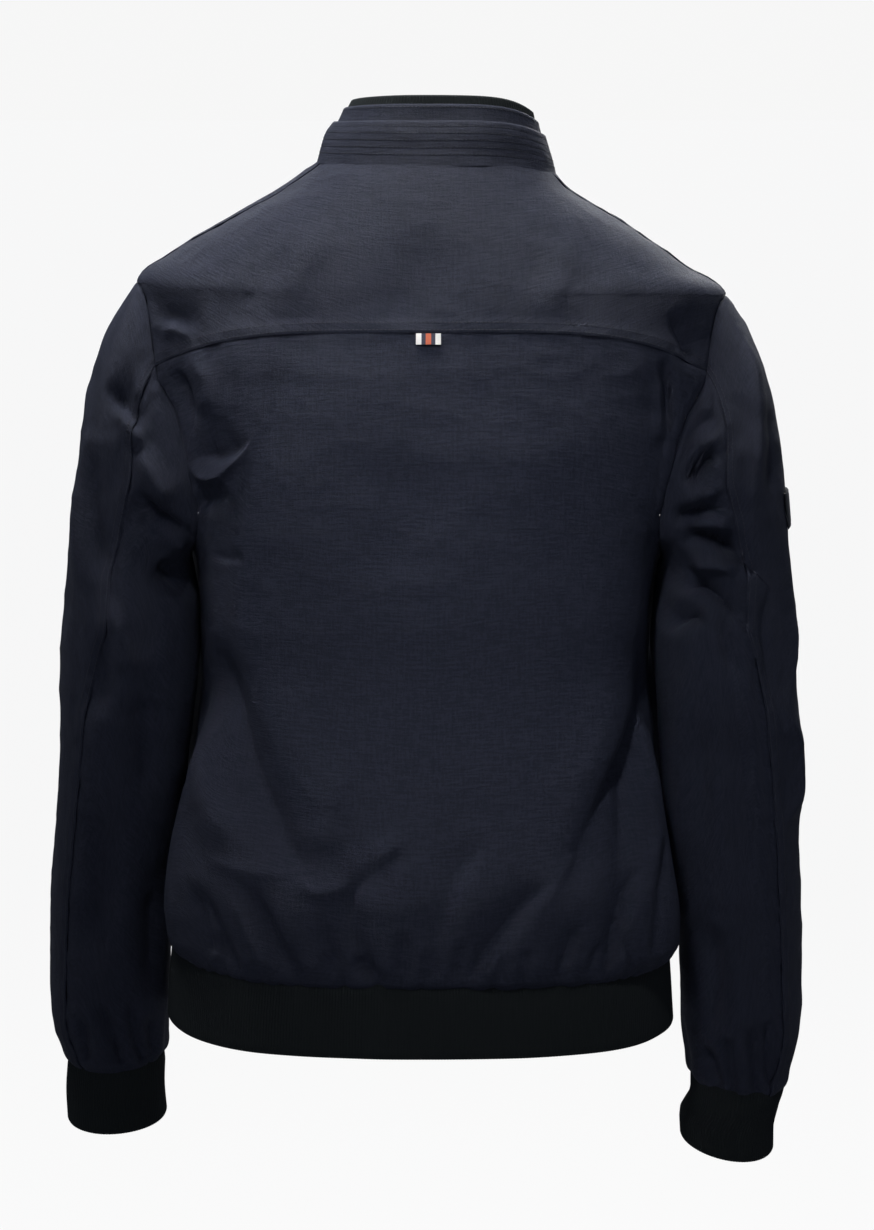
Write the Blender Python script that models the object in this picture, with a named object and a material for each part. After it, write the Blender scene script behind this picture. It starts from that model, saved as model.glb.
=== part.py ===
# A harrington jacket in its worn form: a hollow blouson with a stand collar, a back yoke,
# two-piece sleeves, a front zip and knitted cuffs and hem band.
# Metres, Z up. The wearer faces -Y and the wearer's left is +X. The origin is the centre of the neck seam.

from collections import namedtuple
import math

import bmesh
import bpy
import numpy as np
from mathutils import Matrix, Vector
from mathutils.bvhtree import BVHTree

# Driving dimensions
WALL = 0.002  # thickness of every cloth and knit wall
GAP = 0.0003  # between pieces that are sewn to each other
SHOULDER = 0.095  # drops below the neck seam, down the centre back
YOKE = 0.1235
UNDERARM = 0.270
HEM = 0.617
HEM_END = 0.669
STAND_HEIGHT = 0.034  # heights up the centre back of the collar
BAND_HEIGHT = 0.047
RIB_HEIGHT = 0.0555
ZIP_TOP = 0.031
SLIDER_HEIGHT = 0.025
BICEPS = 0.310  # level of the ring that ends the sleeve cap
CAP = 0.200  # drop of the sleeve for each unit along it, below the cap
ARMHOLE_SPREAD = math.radians(30)
ARMHOLE_SQUARE = 3.0
ZIP_HALF = 0.007  # half of the slot between the two fronts
WELT_WIDTH = 0.024
WELT_ENDS = (0.400, 0.530)  # drops of a pocket welt's two ends
WELT_TURNS = (0.62, 0.92)  # and their turns from the centre front
WELT_THICK = 0.0015
TAB_SIZE = (0.021, 0.010, 0.0010)
PATCH_SIZE = (0.046, 0.027, 0.0026)
SLIDER = (0.0090, 0.0110, 0.0032)  # across, along the zip, thick
SLIDER_OFF = 0.0004  # the slider's underside above the tapes
BRIDGE = (0.0024, 0.0080, 0.0040)
BRIDGE_EYE = (0.0046, 0.0026)  # along the zip, thick
PULL = (0.0080, 0.0260, 0.0014)
PULL_EYE = (0.0044, 0.0050)
ZIP_BOX = (0.0090, 0.0100, 0.0030)

# Smaller sizes
LOBE_TURN = math.radians(58)  # where a lobe lies, from the back or the front
LOBE_SPREAD = 0.28
SIDE_FALL = 4  # how late a ring leaves the height of its back or front for that of its sides
LAID_ON = 0.0008  # what lies on a folded panel stands this far off its facets
SEAM_TURN_NECK = math.radians(74)  # where the shoulder seam meets the neck
TINY = 1e-6
STAND_FOOT, BAND_FOOT, RIB_FOOT = 0.0009, 0.004, 0.006  # the collar layers' lower edges above the seam
BOX_RISE = 0.006  # the zip box's middle above the hem's end
HOLE_ROWS = (0, 0.08, 0.2, 0.36, 0.54, 0.75)  # places along a sleeve cap
TAB_X = 0.0025
PATCH_ALONG = 0.78  # the patch's middle along the sleeve and round its clock
PATCH_CLOCK = math.radians(4)

LEFT, RIGHT = 1, -1


def table(columns, *rows):
    return dict(zip(columns.split(), np.array(rows, float).T))


RING = "back left right front wide_left wide_right deep_back deep_front square"
LOBES = " lobe_back lobe_front"

# Rings of the body. back, left, right and front are the heights of the ring at those four places. The
# lobes stand out beside the dent that each arm presses into the side.
TORSO = table(
    "down " + RING + LOBES,
    (0.000, 0.003, 0.004, -0.005, -0.062, 0.088, 0.095, 0.070, -0.070, 0.00, 0.000, 0.000),
    (0.017, -0.014, -0.012, -0.016, -0.078, 0.109, 0.106, 0.080, -0.080, 0.00, 0.000, 0.000),
    (0.045, -0.042, -0.036, -0.040, -0.105, 0.150, 0.145, 0.092, -0.090, 0.00, 0.000, 0.000),
    (0.075, -0.072, -0.063, -0.075, -0.134, 0.196, 0.195, 0.102, -0.099, 0.00, 0.000, 0.000),
    (SHOULDER, -0.092, -0.087, -0.097, -0.153, 0.226, 0.2255, 0.107, -0.104, 0.00, 0.000, 0.000),
    (YOKE, -0.120, -0.165, -0.172, -0.180, 0.232, 0.231, 0.113, -0.110, 0.01, 0.000, 0.000),
    (0.165, -0.162, -0.213, -0.218, -0.217, 0.214, 0.211, 0.121, -0.116, 0.03, 0.000, 0.000),
    (0.215, -0.212, -0.252, -0.255, -0.260, 0.199, 0.195, 0.126, -0.120, 0.045, 0.000, 0.000),
    (UNDERARM, -0.267, -0.290, -0.292, -0.300, 0.183, 0.176, 0.127, -0.123, 0.055, 0.000, 0.008),
    (0.330, -0.327, -0.340, -0.341, -0.345, 0.1775, 0.1675, 0.122, -0.125, 0.06, 0.001, 0.025),
    (0.385, -0.382, -0.388, -0.389, -0.392, 0.1775, 0.1665, 0.115, -0.125, 0.06, -0.002, 0.025),
    (0.440, -0.437, -0.440, -0.441, -0.443, 0.183, 0.1720, 0.120, -0.127, 0.055, 0.012, 0.020),
    (0.505, -0.502, -0.500, -0.503, -0.505, 0.194, 0.1755, 0.136, -0.134, 0.05, 0.018, 0.010),
    (0.555, -0.552, -0.546, -0.551, -0.553, 0.2020, 0.1845, 0.149, -0.142, 0.045, 0.019, 0.006),
    (0.595, -0.592, -0.581, -0.592, -0.592, 0.2055, 0.1915, 0.148, -0.141, 0.04, 0.012, 0.003),
    (HEM, -0.614, -0.600, -0.611, -0.612, 0.2035, 0.1865, 0.134, -0.131, 0.04, 0.000, 0.000),
    (0.643, -0.640, -0.628, -0.637, -0.638, 0.2060, 0.188, 0.1345, -0.1315, 0.04, 0.000, 0.000),
    (HEM_END, -0.666, -0.6575, -0.6625, -0.664, 0.2075, 0.1895, 0.135, -0.132, 0.04, 0.000, 0.000),
)

# Rings of the collar, which stands over the neck seam, so that its drops are under 0.
COLLAR = table(
    "down " + RING,
    (-0.057, 0.0575, 0.0555, 0.0450, -0.0075, 0.0645, 0.0820, 0.0540, -0.0610, 0.00),
    (-BAND_HEIGHT, 0.0490, 0.0470, 0.0360, -0.0165, 0.0690, 0.0840, 0.0565, -0.0630, 0.00),
    (-STAND_HEIGHT, 0.0360, 0.0350, 0.0250, -0.0285, 0.0745, 0.0868, 0.0600, -0.0650, 0.00),
    (-0.024, 0.0265, 0.0265, 0.0155, -0.038, 0.0800, 0.0895, 0.0635, -0.0670, 0.00),
    (-0.012, 0.0145, 0.0155, 0.0055, -0.049, 0.0845, 0.0925, 0.0665, -0.0685, 0.00),
    (0.000, 0.003, 0.004, -0.005, -0.062, 0.088, 0.095, 0.070, -0.070, 0.00),
)

# Rings of the sleeves: centre, half sizes, and how far the outer and the back side hang lower.
SLEEVE_COLUMNS = "below x y wide deep lean pitch square"
SLEEVES = {
    LEFT: table(
        SLEEVE_COLUMNS,
        (BICEPS, 0.2338, -0.003, 0.0500, 0.066, 0.00, 0.00, 0.02),
        (0.334, 0.2328, -0.002, 0.0528, 0.066, 0.00, 0.00, 0.02),
        (0.365, 0.2339, -0.001, 0.0536, 0.064, 0.00, 0.00, 0.02),
        (0.4125, 0.2363, -0.003, 0.0534, 0.061, 0.00, 0.03, 0.02),
        (0.460, 0.2407, -0.010, 0.0519, 0.058, 0.00, 0.08, 0.02),
        (0.509, 0.2475, -0.018, 0.0487, 0.055, 0.02, 0.12, 0.02),
        (0.558, 0.2530, -0.026, 0.0469, 0.052, 0.03, 0.14, 0.02),
        (0.605, 0.2550, -0.033, 0.0470, 0.050, 0.03, 0.15, 0.02),
        (0.659, 0.2560, -0.040, 0.0477, 0.049, 0.03, 0.16, 0.02),
        (0.677, 0.2558, -0.042, 0.0459, 0.047, 0.03, 0.16, 0.01),
        (0.693, 0.2535, -0.044, 0.0424, 0.044, 0.03, 0.16, 0.00),
        (0.7056, 0.2525, -0.046, 0.0388, 0.041, 0.03, 0.16, 0.00),
        (0.731, 0.2538, -0.050, 0.0392, 0.041, 0.04, 0.16, 0.00),
        (0.7565, 0.2525, -0.053, 0.0397, 0.042, 0.05, 0.16, 0.00),
    ),
    RIGHT: table(
        SLEEVE_COLUMNS,
        (BICEPS, -0.2262, -0.003, 0.0520, 0.066, 0.00, 0.00, 0.02),
        (0.334, -0.2256, -0.002, 0.0547, 0.066, 0.00, 0.00, 0.02),
        (0.365, -0.2263, -0.001, 0.0567, 0.064, 0.00, 0.00, 0.02),
        (0.4125, -0.2303, -0.003, 0.0565, 0.061, 0.00, 0.03, 0.02),
        (0.460, -0.2327, -0.010, 0.0562, 0.058, 0.00, 0.08, 0.02),
        (0.509, -0.2357, -0.018, 0.0557, 0.055, 0.02, 0.12, 0.02),
        (0.558, -0.2405, -0.026, 0.0516, 0.053, 0.03, 0.14, 0.02),
        (0.592, -0.2437, -0.031, 0.0487, 0.051, 0.03, 0.15, 0.02),
        (0.627, -0.2450, -0.036, 0.0484, 0.050, 0.04, 0.16, 0.02),
        (0.676, -0.2470, -0.042, 0.0475, 0.049, 0.06, 0.16, 0.02),
        (0.693, -0.2463, -0.044, 0.0459, 0.047, 0.08, 0.16, 0.01),
        (0.709, -0.2460, -0.046, 0.0432, 0.0445, 0.09, 0.16, 0.00),
        (0.726, -0.2450, -0.047, 0.0380, 0.041, 0.10, 0.16, 0.00),
        (0.743, -0.2425, -0.050, 0.0352, 0.040, 0.13, 0.16, 0.00),
        (0.761, -0.2365, -0.052, 0.0375, 0.041, 0.15, 0.16, 0.00),
        (0.779, -0.2370, -0.054, 0.0370, 0.041, 0.15, 0.16, 0.00),
    ),
}
CUFF_TOP = {LEFT: 0.7056, RIGHT: 0.726}
CUFF_END = {LEFT: 0.7565, RIGHT: 0.779}

# The way the sleeve cap leaves the armhole, round the clock: 0 is the shoulder point, 90 the back.
CAP_START = table(
    "clock out back down",
    (-90, 0.85, -0.20, 0.55),
    (-45, 0.72, -0.25, 0.62),
    (0, 0.62, 0.00, 0.80),
    (45, 0.72, 0.25, 0.62),
    (90, 0.85, 0.20, 0.55),
    (135, 0.75, 0.15, 0.80),
    (180, 0.60, 0.00, 0.80),
    (225, 0.75, -0.15, 0.80),
    (270, 0.85, -0.20, 0.55),
)

# The sleeve's back seam, in degrees round the clock at places along the sleeve. Its first place, where
# it meets the yoke seam, is worked out from the yoke's drop.
BACK_SEAM = {
    LEFT: table(
        "along clock",
        (0.25, 72), (0.50, 84), (0.75, 85), (1.00, 78), (1.19, 76), (1.31, 67),
        (1.57, 58), (1.80, 56), (2.15, 53), (2.60, 50), (3.20, 48),
    ),
    RIGHT: table(
        "along clock",
        (0.25, 72), (0.50, 84), (0.75, 82), (1.00, 75), (1.19, 75), (1.31, 69),
        (1.57, 64), (1.90, 59), (2.30, 56), (2.65, 54), (3.30, 50),
    ),
}
CLOCK_STEP = math.radians(15)  # between the rows that a front has round the armhole
FRONT_SEAM = -4 * CLOCK_STEP

# Folds. A fold runs from (a1, z1) through (a2, z2) to (a3, z3), on the side that it faces, where a is
# X on the back and the front, and Y on the left and the right. A ridge has a depth over 0, a trough
# under 0. open is how much of it is left at its last point.
Fold = namedtuple("Fold", "facing a1 z1 a2 z2 a3 z3 width depth open")
BODY_FOLDS = [
    Fold("back", 0.213, -0.114, 0.196, -0.116, 0.178, -0.131, 0.012, -0.005, 0),
    Fold("back", 0.195, -0.145, 0.174, -0.162, 0.182, -0.194, 0.010, -0.005, 0),
    Fold("back", 0.183, -0.214, 0.147, -0.223, 0.127, -0.179, 0.009, 0.006, 0),
    Fold("back", 0.173, -0.200, 0.153, -0.211, 0.135, -0.190, 0.010, -0.006, 0),
    Fold("back", 0.180, -0.233, 0.163, -0.247, 0.150, -0.238, 0.009, -0.004, 0),
    Fold("back", -0.176, -0.108, -0.186, -0.127, -0.195, -0.148, 0.010, -0.005, 0),
    Fold("back", -0.172, -0.136, -0.184, -0.162, -0.175, -0.197, 0.010, -0.006, 0),
    Fold("back", 0.001, -0.060, 0.015, -0.090, 0.024, -0.119, 0.018, -0.002, 0),
    Fold("back", 0.106, -0.068, 0.127, -0.090, 0.136, -0.116, 0.020, -0.002, 0),
    Fold("back", -0.103, -0.078, -0.090, -0.093, -0.073, -0.106, 0.018, -0.002, 0),
    Fold("back", -0.006, -0.206, 0.020, -0.259, 0.038, -0.319, 0.030, -0.003, 0),
    Fold("back", 0.157, -0.371, 0.148, -0.445, 0.110, -0.515, 0.016, 0.006, 0),
    Fold("back", 0.135, -0.385, 0.117, -0.445, 0.098, -0.515, 0.016, -0.008, 0),
    Fold("back", 0.096, -0.521, 0.085, -0.493, 0.067, -0.466, 0.010, -0.004, 0),
    Fold("back", 0.173, -0.466, 0.164, -0.512, 0.106, -0.521, 0.018, 0.007, 0),
    Fold("back", 0.106, -0.524, 0.069, -0.541, 0.037, -0.516, 0.012, 0.006, 0),
    Fold("back", 0.027, -0.516, 0.065, -0.546, 0.040, -0.607, 0.010, -0.006, 1),
    Fold("back", -0.038, -0.500, -0.006, -0.538, 0.001, -0.592, 0.014, -0.006, 0),
    Fold("back", -0.100, -0.512, -0.051, -0.561, -0.023, -0.613, 0.012, -0.006, 1),
    Fold("back", -0.105, -0.575, -0.093, -0.594, -0.089, -0.613, 0.007, -0.005, 1),
    Fold("back", -0.154, -0.464, -0.150, -0.525, -0.133, -0.605, 0.010, -0.007, 1),
    Fold("back", -0.170, -0.531, -0.165, -0.562, -0.161, -0.603, 0.007, -0.004, 1),
    Fold("back", -0.142, -0.394, -0.126, -0.443, -0.101, -0.517, 0.016, 0.005, 0),
    Fold("back", -0.150, -0.420, -0.143, -0.470, -0.120, -0.530, 0.014, -0.007, 0),
    Fold("back", 0.181, -0.496, 0.175, -0.543, 0.171, -0.600, 0.007, -0.004, 1),
    Fold("back", 0.172, -0.514, 0.149, -0.553, 0.129, -0.608, 0.007, -0.005, 1),
    Fold("back", 0.144, -0.531, 0.123, -0.565, 0.099, -0.612, 0.007, -0.005, 1),
    Fold("back", 0.068, -0.580, 0.075, -0.598, 0.071, -0.614, 0.006, -0.004, 1),
    Fold("back", 0.022, -0.580, 0.021, -0.598, 0.022, -0.614, 0.006, -0.004, 1),
    Fold("back", -0.060, -0.578, -0.062, -0.598, -0.060, -0.614, 0.006, -0.004, 1),
    Fold("front", 0.190, -0.150, 0.165, -0.185, 0.155, -0.230, 0.012, -0.006, 0),
    Fold("front", -0.188, -0.145, -0.168, -0.190, -0.150, -0.225, 0.012, -0.006, 0),
    Fold("front", 0.172, -0.255, 0.140, -0.240, 0.105, -0.200, 0.011, -0.005, 0),
    Fold("front", -0.168, -0.262, -0.130, -0.250, -0.098, -0.215, 0.011, -0.005, 0),
    Fold("front", 0.156, -0.380, 0.160, -0.450, 0.150, -0.520, 0.016, -0.005, 0),
    Fold("front", -0.150, -0.370, -0.152, -0.440, -0.146, -0.510, 0.016, -0.005, 0),
    Fold("front", 0.085, -0.410, 0.060, -0.480, 0.050, -0.560, 0.018, -0.005, 0),
    Fold("front", -0.078, -0.430, -0.062, -0.490, -0.040, -0.550, 0.018, -0.005, 0),
    Fold("front", 0.165, -0.500, 0.150, -0.560, 0.147, -0.612, 0.009, -0.005, 1),
    Fold("front", 0.120, -0.540, 0.110, -0.580, 0.104, -0.612, 0.008, -0.005, 1),
    Fold("front", 0.070, -0.530, 0.076, -0.580, 0.069, -0.612, 0.008, -0.005, 1),
    Fold("front", 0.035, -0.555, 0.030, -0.590, 0.033, -0.612, 0.007, -0.004, 1),
    Fold("front", -0.030, -0.545, -0.036, -0.585, -0.032, -0.612, 0.007, -0.004, 1),
    Fold("front", -0.066, -0.520, -0.060, -0.570, -0.067, -0.612, 0.008, -0.005, 1),
    Fold("front", -0.112, -0.545, -0.100, -0.580, -0.098, -0.612, 0.008, -0.005, 1),
    Fold("front", -0.155, -0.510, -0.140, -0.565, -0.138, -0.612, 0.009, -0.005, 1),
    Fold("left", 0.050, -0.360, 0.035, -0.440, 0.045, -0.530, 0.016, -0.004, 0),
    Fold("left", -0.045, -0.350, -0.030, -0.440, -0.040, -0.540, 0.016, -0.004, 0),
    Fold("left", 0.030, -0.540, 0.036, -0.580, 0.030, -0.603, 0.009, -0.004, 1),
    Fold("left", -0.025, -0.530, -0.030, -0.575, -0.022, -0.603, 0.009, -0.004, 1),
    Fold("left", -0.075, -0.550, -0.070, -0.580, -0.076, -0.606, 0.009, -0.004, 1),
    Fold("right", 0.055, -0.350, 0.040, -0.430, 0.048, -0.520, 0.016, -0.004, 0),
    Fold("right", -0.040, -0.360, -0.050, -0.450, -0.035, -0.540, 0.016, -0.004, 0),
    Fold("right", 0.036, -0.545, 0.030, -0.585, 0.034, -0.611, 0.009, -0.004, 1),
    Fold("right", -0.018, -0.535, -0.024, -0.580, -0.016, -0.611, 0.009, -0.004, 1),
    Fold("right", -0.070, -0.550, -0.078, -0.585, -0.070, -0.611, 0.009, -0.004, 1),
]
SLEEVE_FOLDS = {
    LEFT: [
        Fold("back", 0.245, -0.166, 0.225, -0.194, 0.195, -0.256, 0.010, -0.005, 0),
        Fold("back", 0.225, -0.238, 0.210, -0.250, 0.192, -0.261, 0.008, -0.004, 0),
        Fold("back", 0.230, -0.262, 0.207, -0.272, 0.186, -0.288, 0.008, -0.004, 0),
        Fold("back", 0.212, -0.293, 0.197, -0.303, 0.183, -0.310, 0.008, -0.004, 0),
        Fold("back", 0.256, -0.213, 0.259, -0.266, 0.238, -0.370, 0.013, -0.004, 0),
        Fold("back", 0.222, -0.395, 0.207, -0.430, 0.200, -0.480, 0.014, -0.004, 0),
        Fold("back", 0.262, -0.480, 0.245, -0.540, 0.240, -0.600, 0.014, -0.003, 0),
        Fold("back", 0.226, -0.540, 0.232, -0.600, 0.225, -0.660, 0.012, -0.003, 0),
        Fold("back", 0.245, -0.650, 0.241, -0.680, 0.244, -0.708, 0.007, -0.003, 1),
        Fold("back", 0.268, -0.655, 0.266, -0.680, 0.268, -0.708, 0.007, -0.003, 1),
        Fold("front", 0.222, -0.130, 0.214, -0.200, 0.222, -0.270, 0.012, -0.005, 0),
        Fold("front", 0.212, -0.345, 0.230, -0.370, 0.252, -0.365, 0.012, -0.006, 0),
        Fold("front", 0.208, -0.395, 0.232, -0.405, 0.262, -0.390, 0.012, -0.005, 0),
        Fold("front", 0.215, -0.470, 0.240, -0.500, 0.262, -0.560, 0.014, -0.004, 0),
        Fold("front", 0.242, -0.650, 0.247, -0.675, 0.243, -0.697, 0.007, -0.003, 1),
        Fold("front", 0.264, -0.645, 0.260, -0.672, 0.264, -0.697, 0.007, -0.003, 1),
        Fold("left", 0.020, -0.200, 0.000, -0.280, 0.010, -0.360, 0.016, -0.003, 0),
        Fold("left", -0.030, -0.380, -0.010, -0.450, -0.030, -0.540, 0.016, -0.004, 0),
        Fold("left", -0.040, -0.650, -0.036, -0.675, -0.041, -0.705, 0.008, -0.003, 1),
        Fold("right", 0.010, -0.350, -0.010, -0.430, -0.005, -0.520, 0.014, -0.003, 0),
        Fold("right", -0.030, -0.650, -0.036, -0.675, -0.036, -0.703, 0.008, -0.003, 1),
    ],
    RIGHT: [
        Fold("back", -0.185, -0.205, -0.200, -0.195, -0.216, -0.188, 0.008, -0.004, 0),
        Fold("back", -0.186, -0.233, -0.203, -0.222, -0.220, -0.213, 0.008, -0.005, 0),
        Fold("back", -0.185, -0.265, -0.203, -0.259, -0.222, -0.250, 0.008, -0.006, 0),
        Fold("back", -0.193, -0.287, -0.214, -0.285, -0.237, -0.279, 0.007, -0.004, 0),
        Fold("back", -0.185, -0.312, -0.205, -0.316, -0.223, -0.314, 0.008, -0.004, 0),
        Fold("back", -0.174, -0.349, -0.192, -0.347, -0.211, -0.337, 0.009, -0.005, 0),
        Fold("back", -0.235, -0.114, -0.249, -0.213, -0.243, -0.297, 0.012, 0.003, 0),
        Fold("back", -0.270, -0.253, -0.273, -0.350, -0.268, -0.450, 0.012, 0.003, 0),
        Fold("back", -0.237, -0.297, -0.235, -0.335, -0.232, -0.366, 0.010, -0.004, 0),
        Fold("back", -0.205, -0.400, -0.212, -0.450, -0.200, -0.500, 0.014, -0.003, 0),
        Fold("back", -0.250, -0.480, -0.236, -0.550, -0.238, -0.620, 0.014, -0.003, 0),
        Fold("back", -0.236, -0.670, -0.233, -0.700, -0.235, -0.730, 0.007, -0.003, 1),
        Fold("back", -0.258, -0.672, -0.260, -0.700, -0.257, -0.730, 0.007, -0.003, 1),
        Fold("front", -0.218, -0.132, -0.210, -0.195, -0.216, -0.260, 0.012, -0.005, 0),
        Fold("front", -0.200, -0.350, -0.224, -0.372, -0.250, -0.360, 0.012, -0.006, 0),
        Fold("front", -0.200, -0.400, -0.228, -0.412, -0.256, -0.402, 0.012, -0.005, 0),
        Fold("front", -0.205, -0.480, -0.232, -0.515, -0.255, -0.580, 0.014, -0.004, 0),
        Fold("front", -0.234, -0.670, -0.238, -0.695, -0.236, -0.718, 0.007, -0.003, 1),
        Fold("front", -0.256, -0.668, -0.252, -0.692, -0.255, -0.718, 0.007, -0.003, 1),
        Fold("right", 0.015, -0.280, -0.005, -0.350, 0.010, -0.430, 0.016, -0.003, 0),
        Fold("right", -0.030, -0.420, -0.012, -0.490, -0.035, -0.570, 0.016, -0.004, 0),
        Fold("right", -0.040, -0.670, -0.037, -0.700, -0.041, -0.728, 0.008, -0.003, 1),
        Fold("left", 0.010, -0.350, -0.008, -0.430, -0.005, -0.520, 0.014, -0.003, 0),
        Fold("left", -0.030, -0.668, -0.036, -0.695, -0.038, -0.720, 0.008, -0.003, 1),
    ],
}
FACING = {  # the axis that a runs along, and the way that the side looks
    "back": (0, (0, 1, 0)),
    "front": (0, (0, -1, 0)),
    "left": (1, (1, 0, 0)),
    "right": (1, (-1, 0, 0)),
}

# Colour, roughness and metallic value of each finish.
FINISHES = {
    "navy_cloth": ((0.020, 0.023, 0.040), 0.62, 0.0),
    "dark_rib": ((0.009, 0.011, 0.012), 0.85, 0.0),
    "zip_tape": ((0.010, 0.012, 0.020), 0.80, 0.0),
    "dark_metal": ((0.060, 0.060, 0.065), 0.35, 1.0),
    "striped_tab": ((0.600, 0.580, 0.560), 0.70, 0.0),
    "patch": ((0.012, 0.013, 0.018), 0.50, 0.0),
}


# ---- Curves and surfaces ----


def smooth(xs, ys, at):
    """The monotone cubic through the points, at any array of places."""
    step = np.diff(xs)
    slope = np.diff(ys) / step
    agree = slope[:-1] * slope[1:] > 0
    total = np.where(agree, slope[:-1] + slope[1:], 1)
    tangent = np.concatenate(
        ([slope[0]], np.where(agree, 2 * slope[:-1] * slope[1:] / total, 0), [slope[-1]])
    )
    index = np.clip(np.searchsorted(xs, at) - 1, 0, len(step) - 1)
    width = step[index]
    t = (at - xs[index]) / width
    return (
        (1 + 2 * t) * (1 - t) ** 2 * ys[index]
        + t * (1 - t) ** 2 * width * tangent[index]
        + t**2 * (3 - 2 * t) * ys[index + 1]
        + t**2 * (t - 1) * width * tangent[index + 1]
    )


def section(rows, key, at):
    """Every column of a table at these places along its key."""
    return {name: smooth(rows[key], rows[name], at) for name in rows}


def ramp(low, high, value):
    t = np.clip((value - low) / (high - low), 0, 1)
    return t * t * (3 - 2 * t)


def unit(vectors):
    return vectors / np.linalg.norm(vectors, axis=-1, keepdims=True)


def ring(rows, down, turn):
    """Points of the body or the collar. turn is 0 at the centre back and pi / 2 at the wearer's left."""
    part = section(rows, "down", down)
    sine, cosine, square = np.sin(turn), np.cos(turn), part["square"]
    wide = np.where(sine > 0, part["wide_left"], part["wide_right"])
    x = wide * (sine + square * np.sin(3 * turn)) / (1 - square)
    middle = (part["deep_back"] + part["deep_front"]) / 2
    half = (part["deep_back"] - part["deep_front"]) / 2
    y = middle + half * (cosine - square * np.cos(3 * turn)) / (1 - square)
    end = np.where(cosine > 0, part["back"], part["front"])
    side = np.where(sine > 0, part["left"], part["right"])
    z = end + (side - end) * np.abs(sine) ** SIDE_FALL
    for name, middle_turn in (("lobe_back", LOBE_TURN), ("lobe_front", math.pi - LOBE_TURN)):
        if name in part:
            near = np.exp(-(((np.abs(turn) - middle_turn) / LOBE_SPREAD) ** 2))
            x = x + np.sign(sine) * part[name] * near
    return np.stack([x, y, z], axis=-1)


def normals(surface, u, v, sign=1):
    """Outward normals of surface(u, v), where u runs down and v runs round."""
    step = 0.0005
    down = surface(u + step, v) - surface(u - step, v)
    across = surface(u, v + step) - surface(u, v - step)
    return sign * unit(np.cross(across, down))


def fold_path(fold, count=9):
    """Points of the curve from the fold's start, through its middle, to its end."""
    t = np.linspace(0, 1, count)[:, None]
    start, middle, end = np.array(fold[1:7]).reshape(3, 2)
    bend = 2 * middle - (start + end) / 2
    return (1 - t) ** 2 * start + 2 * t * (1 - t) * bend + t**2 * end


def fold_height(points, outward, folds):
    """How far each point moves out, for all the folds on the side that it faces."""
    height = np.zeros(points.shape[:-1])
    for fold in folds:
        axis, toward = FACING[fold.facing]
        facing = ramp(0.10, 0.55, outward @ np.array(toward, float))
        flat = points[..., [axis, 2]]
        path = fold_path(fold)
        nearest = np.full(height.shape, np.inf)
        share = np.zeros(height.shape)
        for i, (a, b) in enumerate(zip(path, path[1:])):
            along = np.clip(((flat - a) @ (b - a)) / ((b - a) @ (b - a)), 0, 1)
            away = np.linalg.norm(flat - a - along[..., None] * (b - a), axis=-1)
            share = np.where(away < nearest, (i + along) / (len(path) - 1), share)
            nearest = np.minimum(away, nearest)
        rise = ramp(0, 0.35, share)
        fall = fold.open + (1 - fold.open) * ramp(0, 0.35, 1 - share)
        height += facing * fold.depth * rise * fall * np.exp(-((nearest / fold.width) ** 2))
    return height


def torso_plain(down, turn):
    return ring(TORSO, down, turn)


def torso(down, turn):
    """The body with its folds. Near the hem band a fold moves level, so that the seam stays closed."""
    plain = torso_plain(down, turn)
    outward = normals(torso_plain, down, turn)
    height = fold_height(plain, outward, BODY_FOLDS)
    outward[..., 2] *= 1 - ramp(HEM - 0.06, HEM, down)
    return plain + outward * height[..., None]


def collar(down, turn):
    return ring(COLLAR, down, turn)


def armhole(clock):
    """Drop and turn of the armhole's edge. The clock is 0 at the shoulder point and pi / 2 at the back."""
    cosine, sine = np.cos(clock), np.sin(clock)
    power = 2 / ARMHOLE_SQUARE
    middle, half = (SHOULDER + UNDERARM) / 2, (UNDERARM - SHOULDER) / 2
    down = middle - half * np.sign(cosine) * np.abs(cosine) ** power
    spread = ARMHOLE_SPREAD * np.abs(sine) ** power
    return down, math.pi / 2 - np.sign(sine) * spread


def clock_at(down):
    """The clock, on the back, of the armhole's edge at a drop."""
    middle, half = (SHOULDER + UNDERARM) / 2, (UNDERARM - SHOULDER) / 2
    share = np.clip((middle - down) / half, -1, 1)
    return np.arccos(np.sign(share) * np.abs(share) ** (ARMHOLE_SQUARE / 2))


def panel_edge(down, branch):
    """Turn of a body panel's side edge: shoulder seam, armhole, side seam. branch is 1 on the back."""
    shoulder = SEAM_TURN_NECK + (math.pi / 2 - SEAM_TURN_NECK) * down / SHOULDER
    open_edge = armhole(branch * clock_at(down))[1]
    return np.where(down < SHOULDER, shoulder, np.where(down < UNDERARM, open_edge, math.pi / 2))


def tube(side, below, clock):
    """Points of the sleeve under its cap. The clock is 0 at the outer side and pi / 2 at the back."""
    part = section(SLEEVES[side], "below", below)
    square = part["square"]
    out = part["wide"] * (np.cos(clock) - square * np.cos(3 * clock)) / (1 - square)
    back = part["deep"] * (np.sin(clock) + square * np.sin(3 * clock)) / (1 - square)
    z = -below - part["lean"] * out - part["pitch"] * back
    return np.stack([part["x"] + side * out, part["y"] + back, z], axis=-1)


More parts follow.
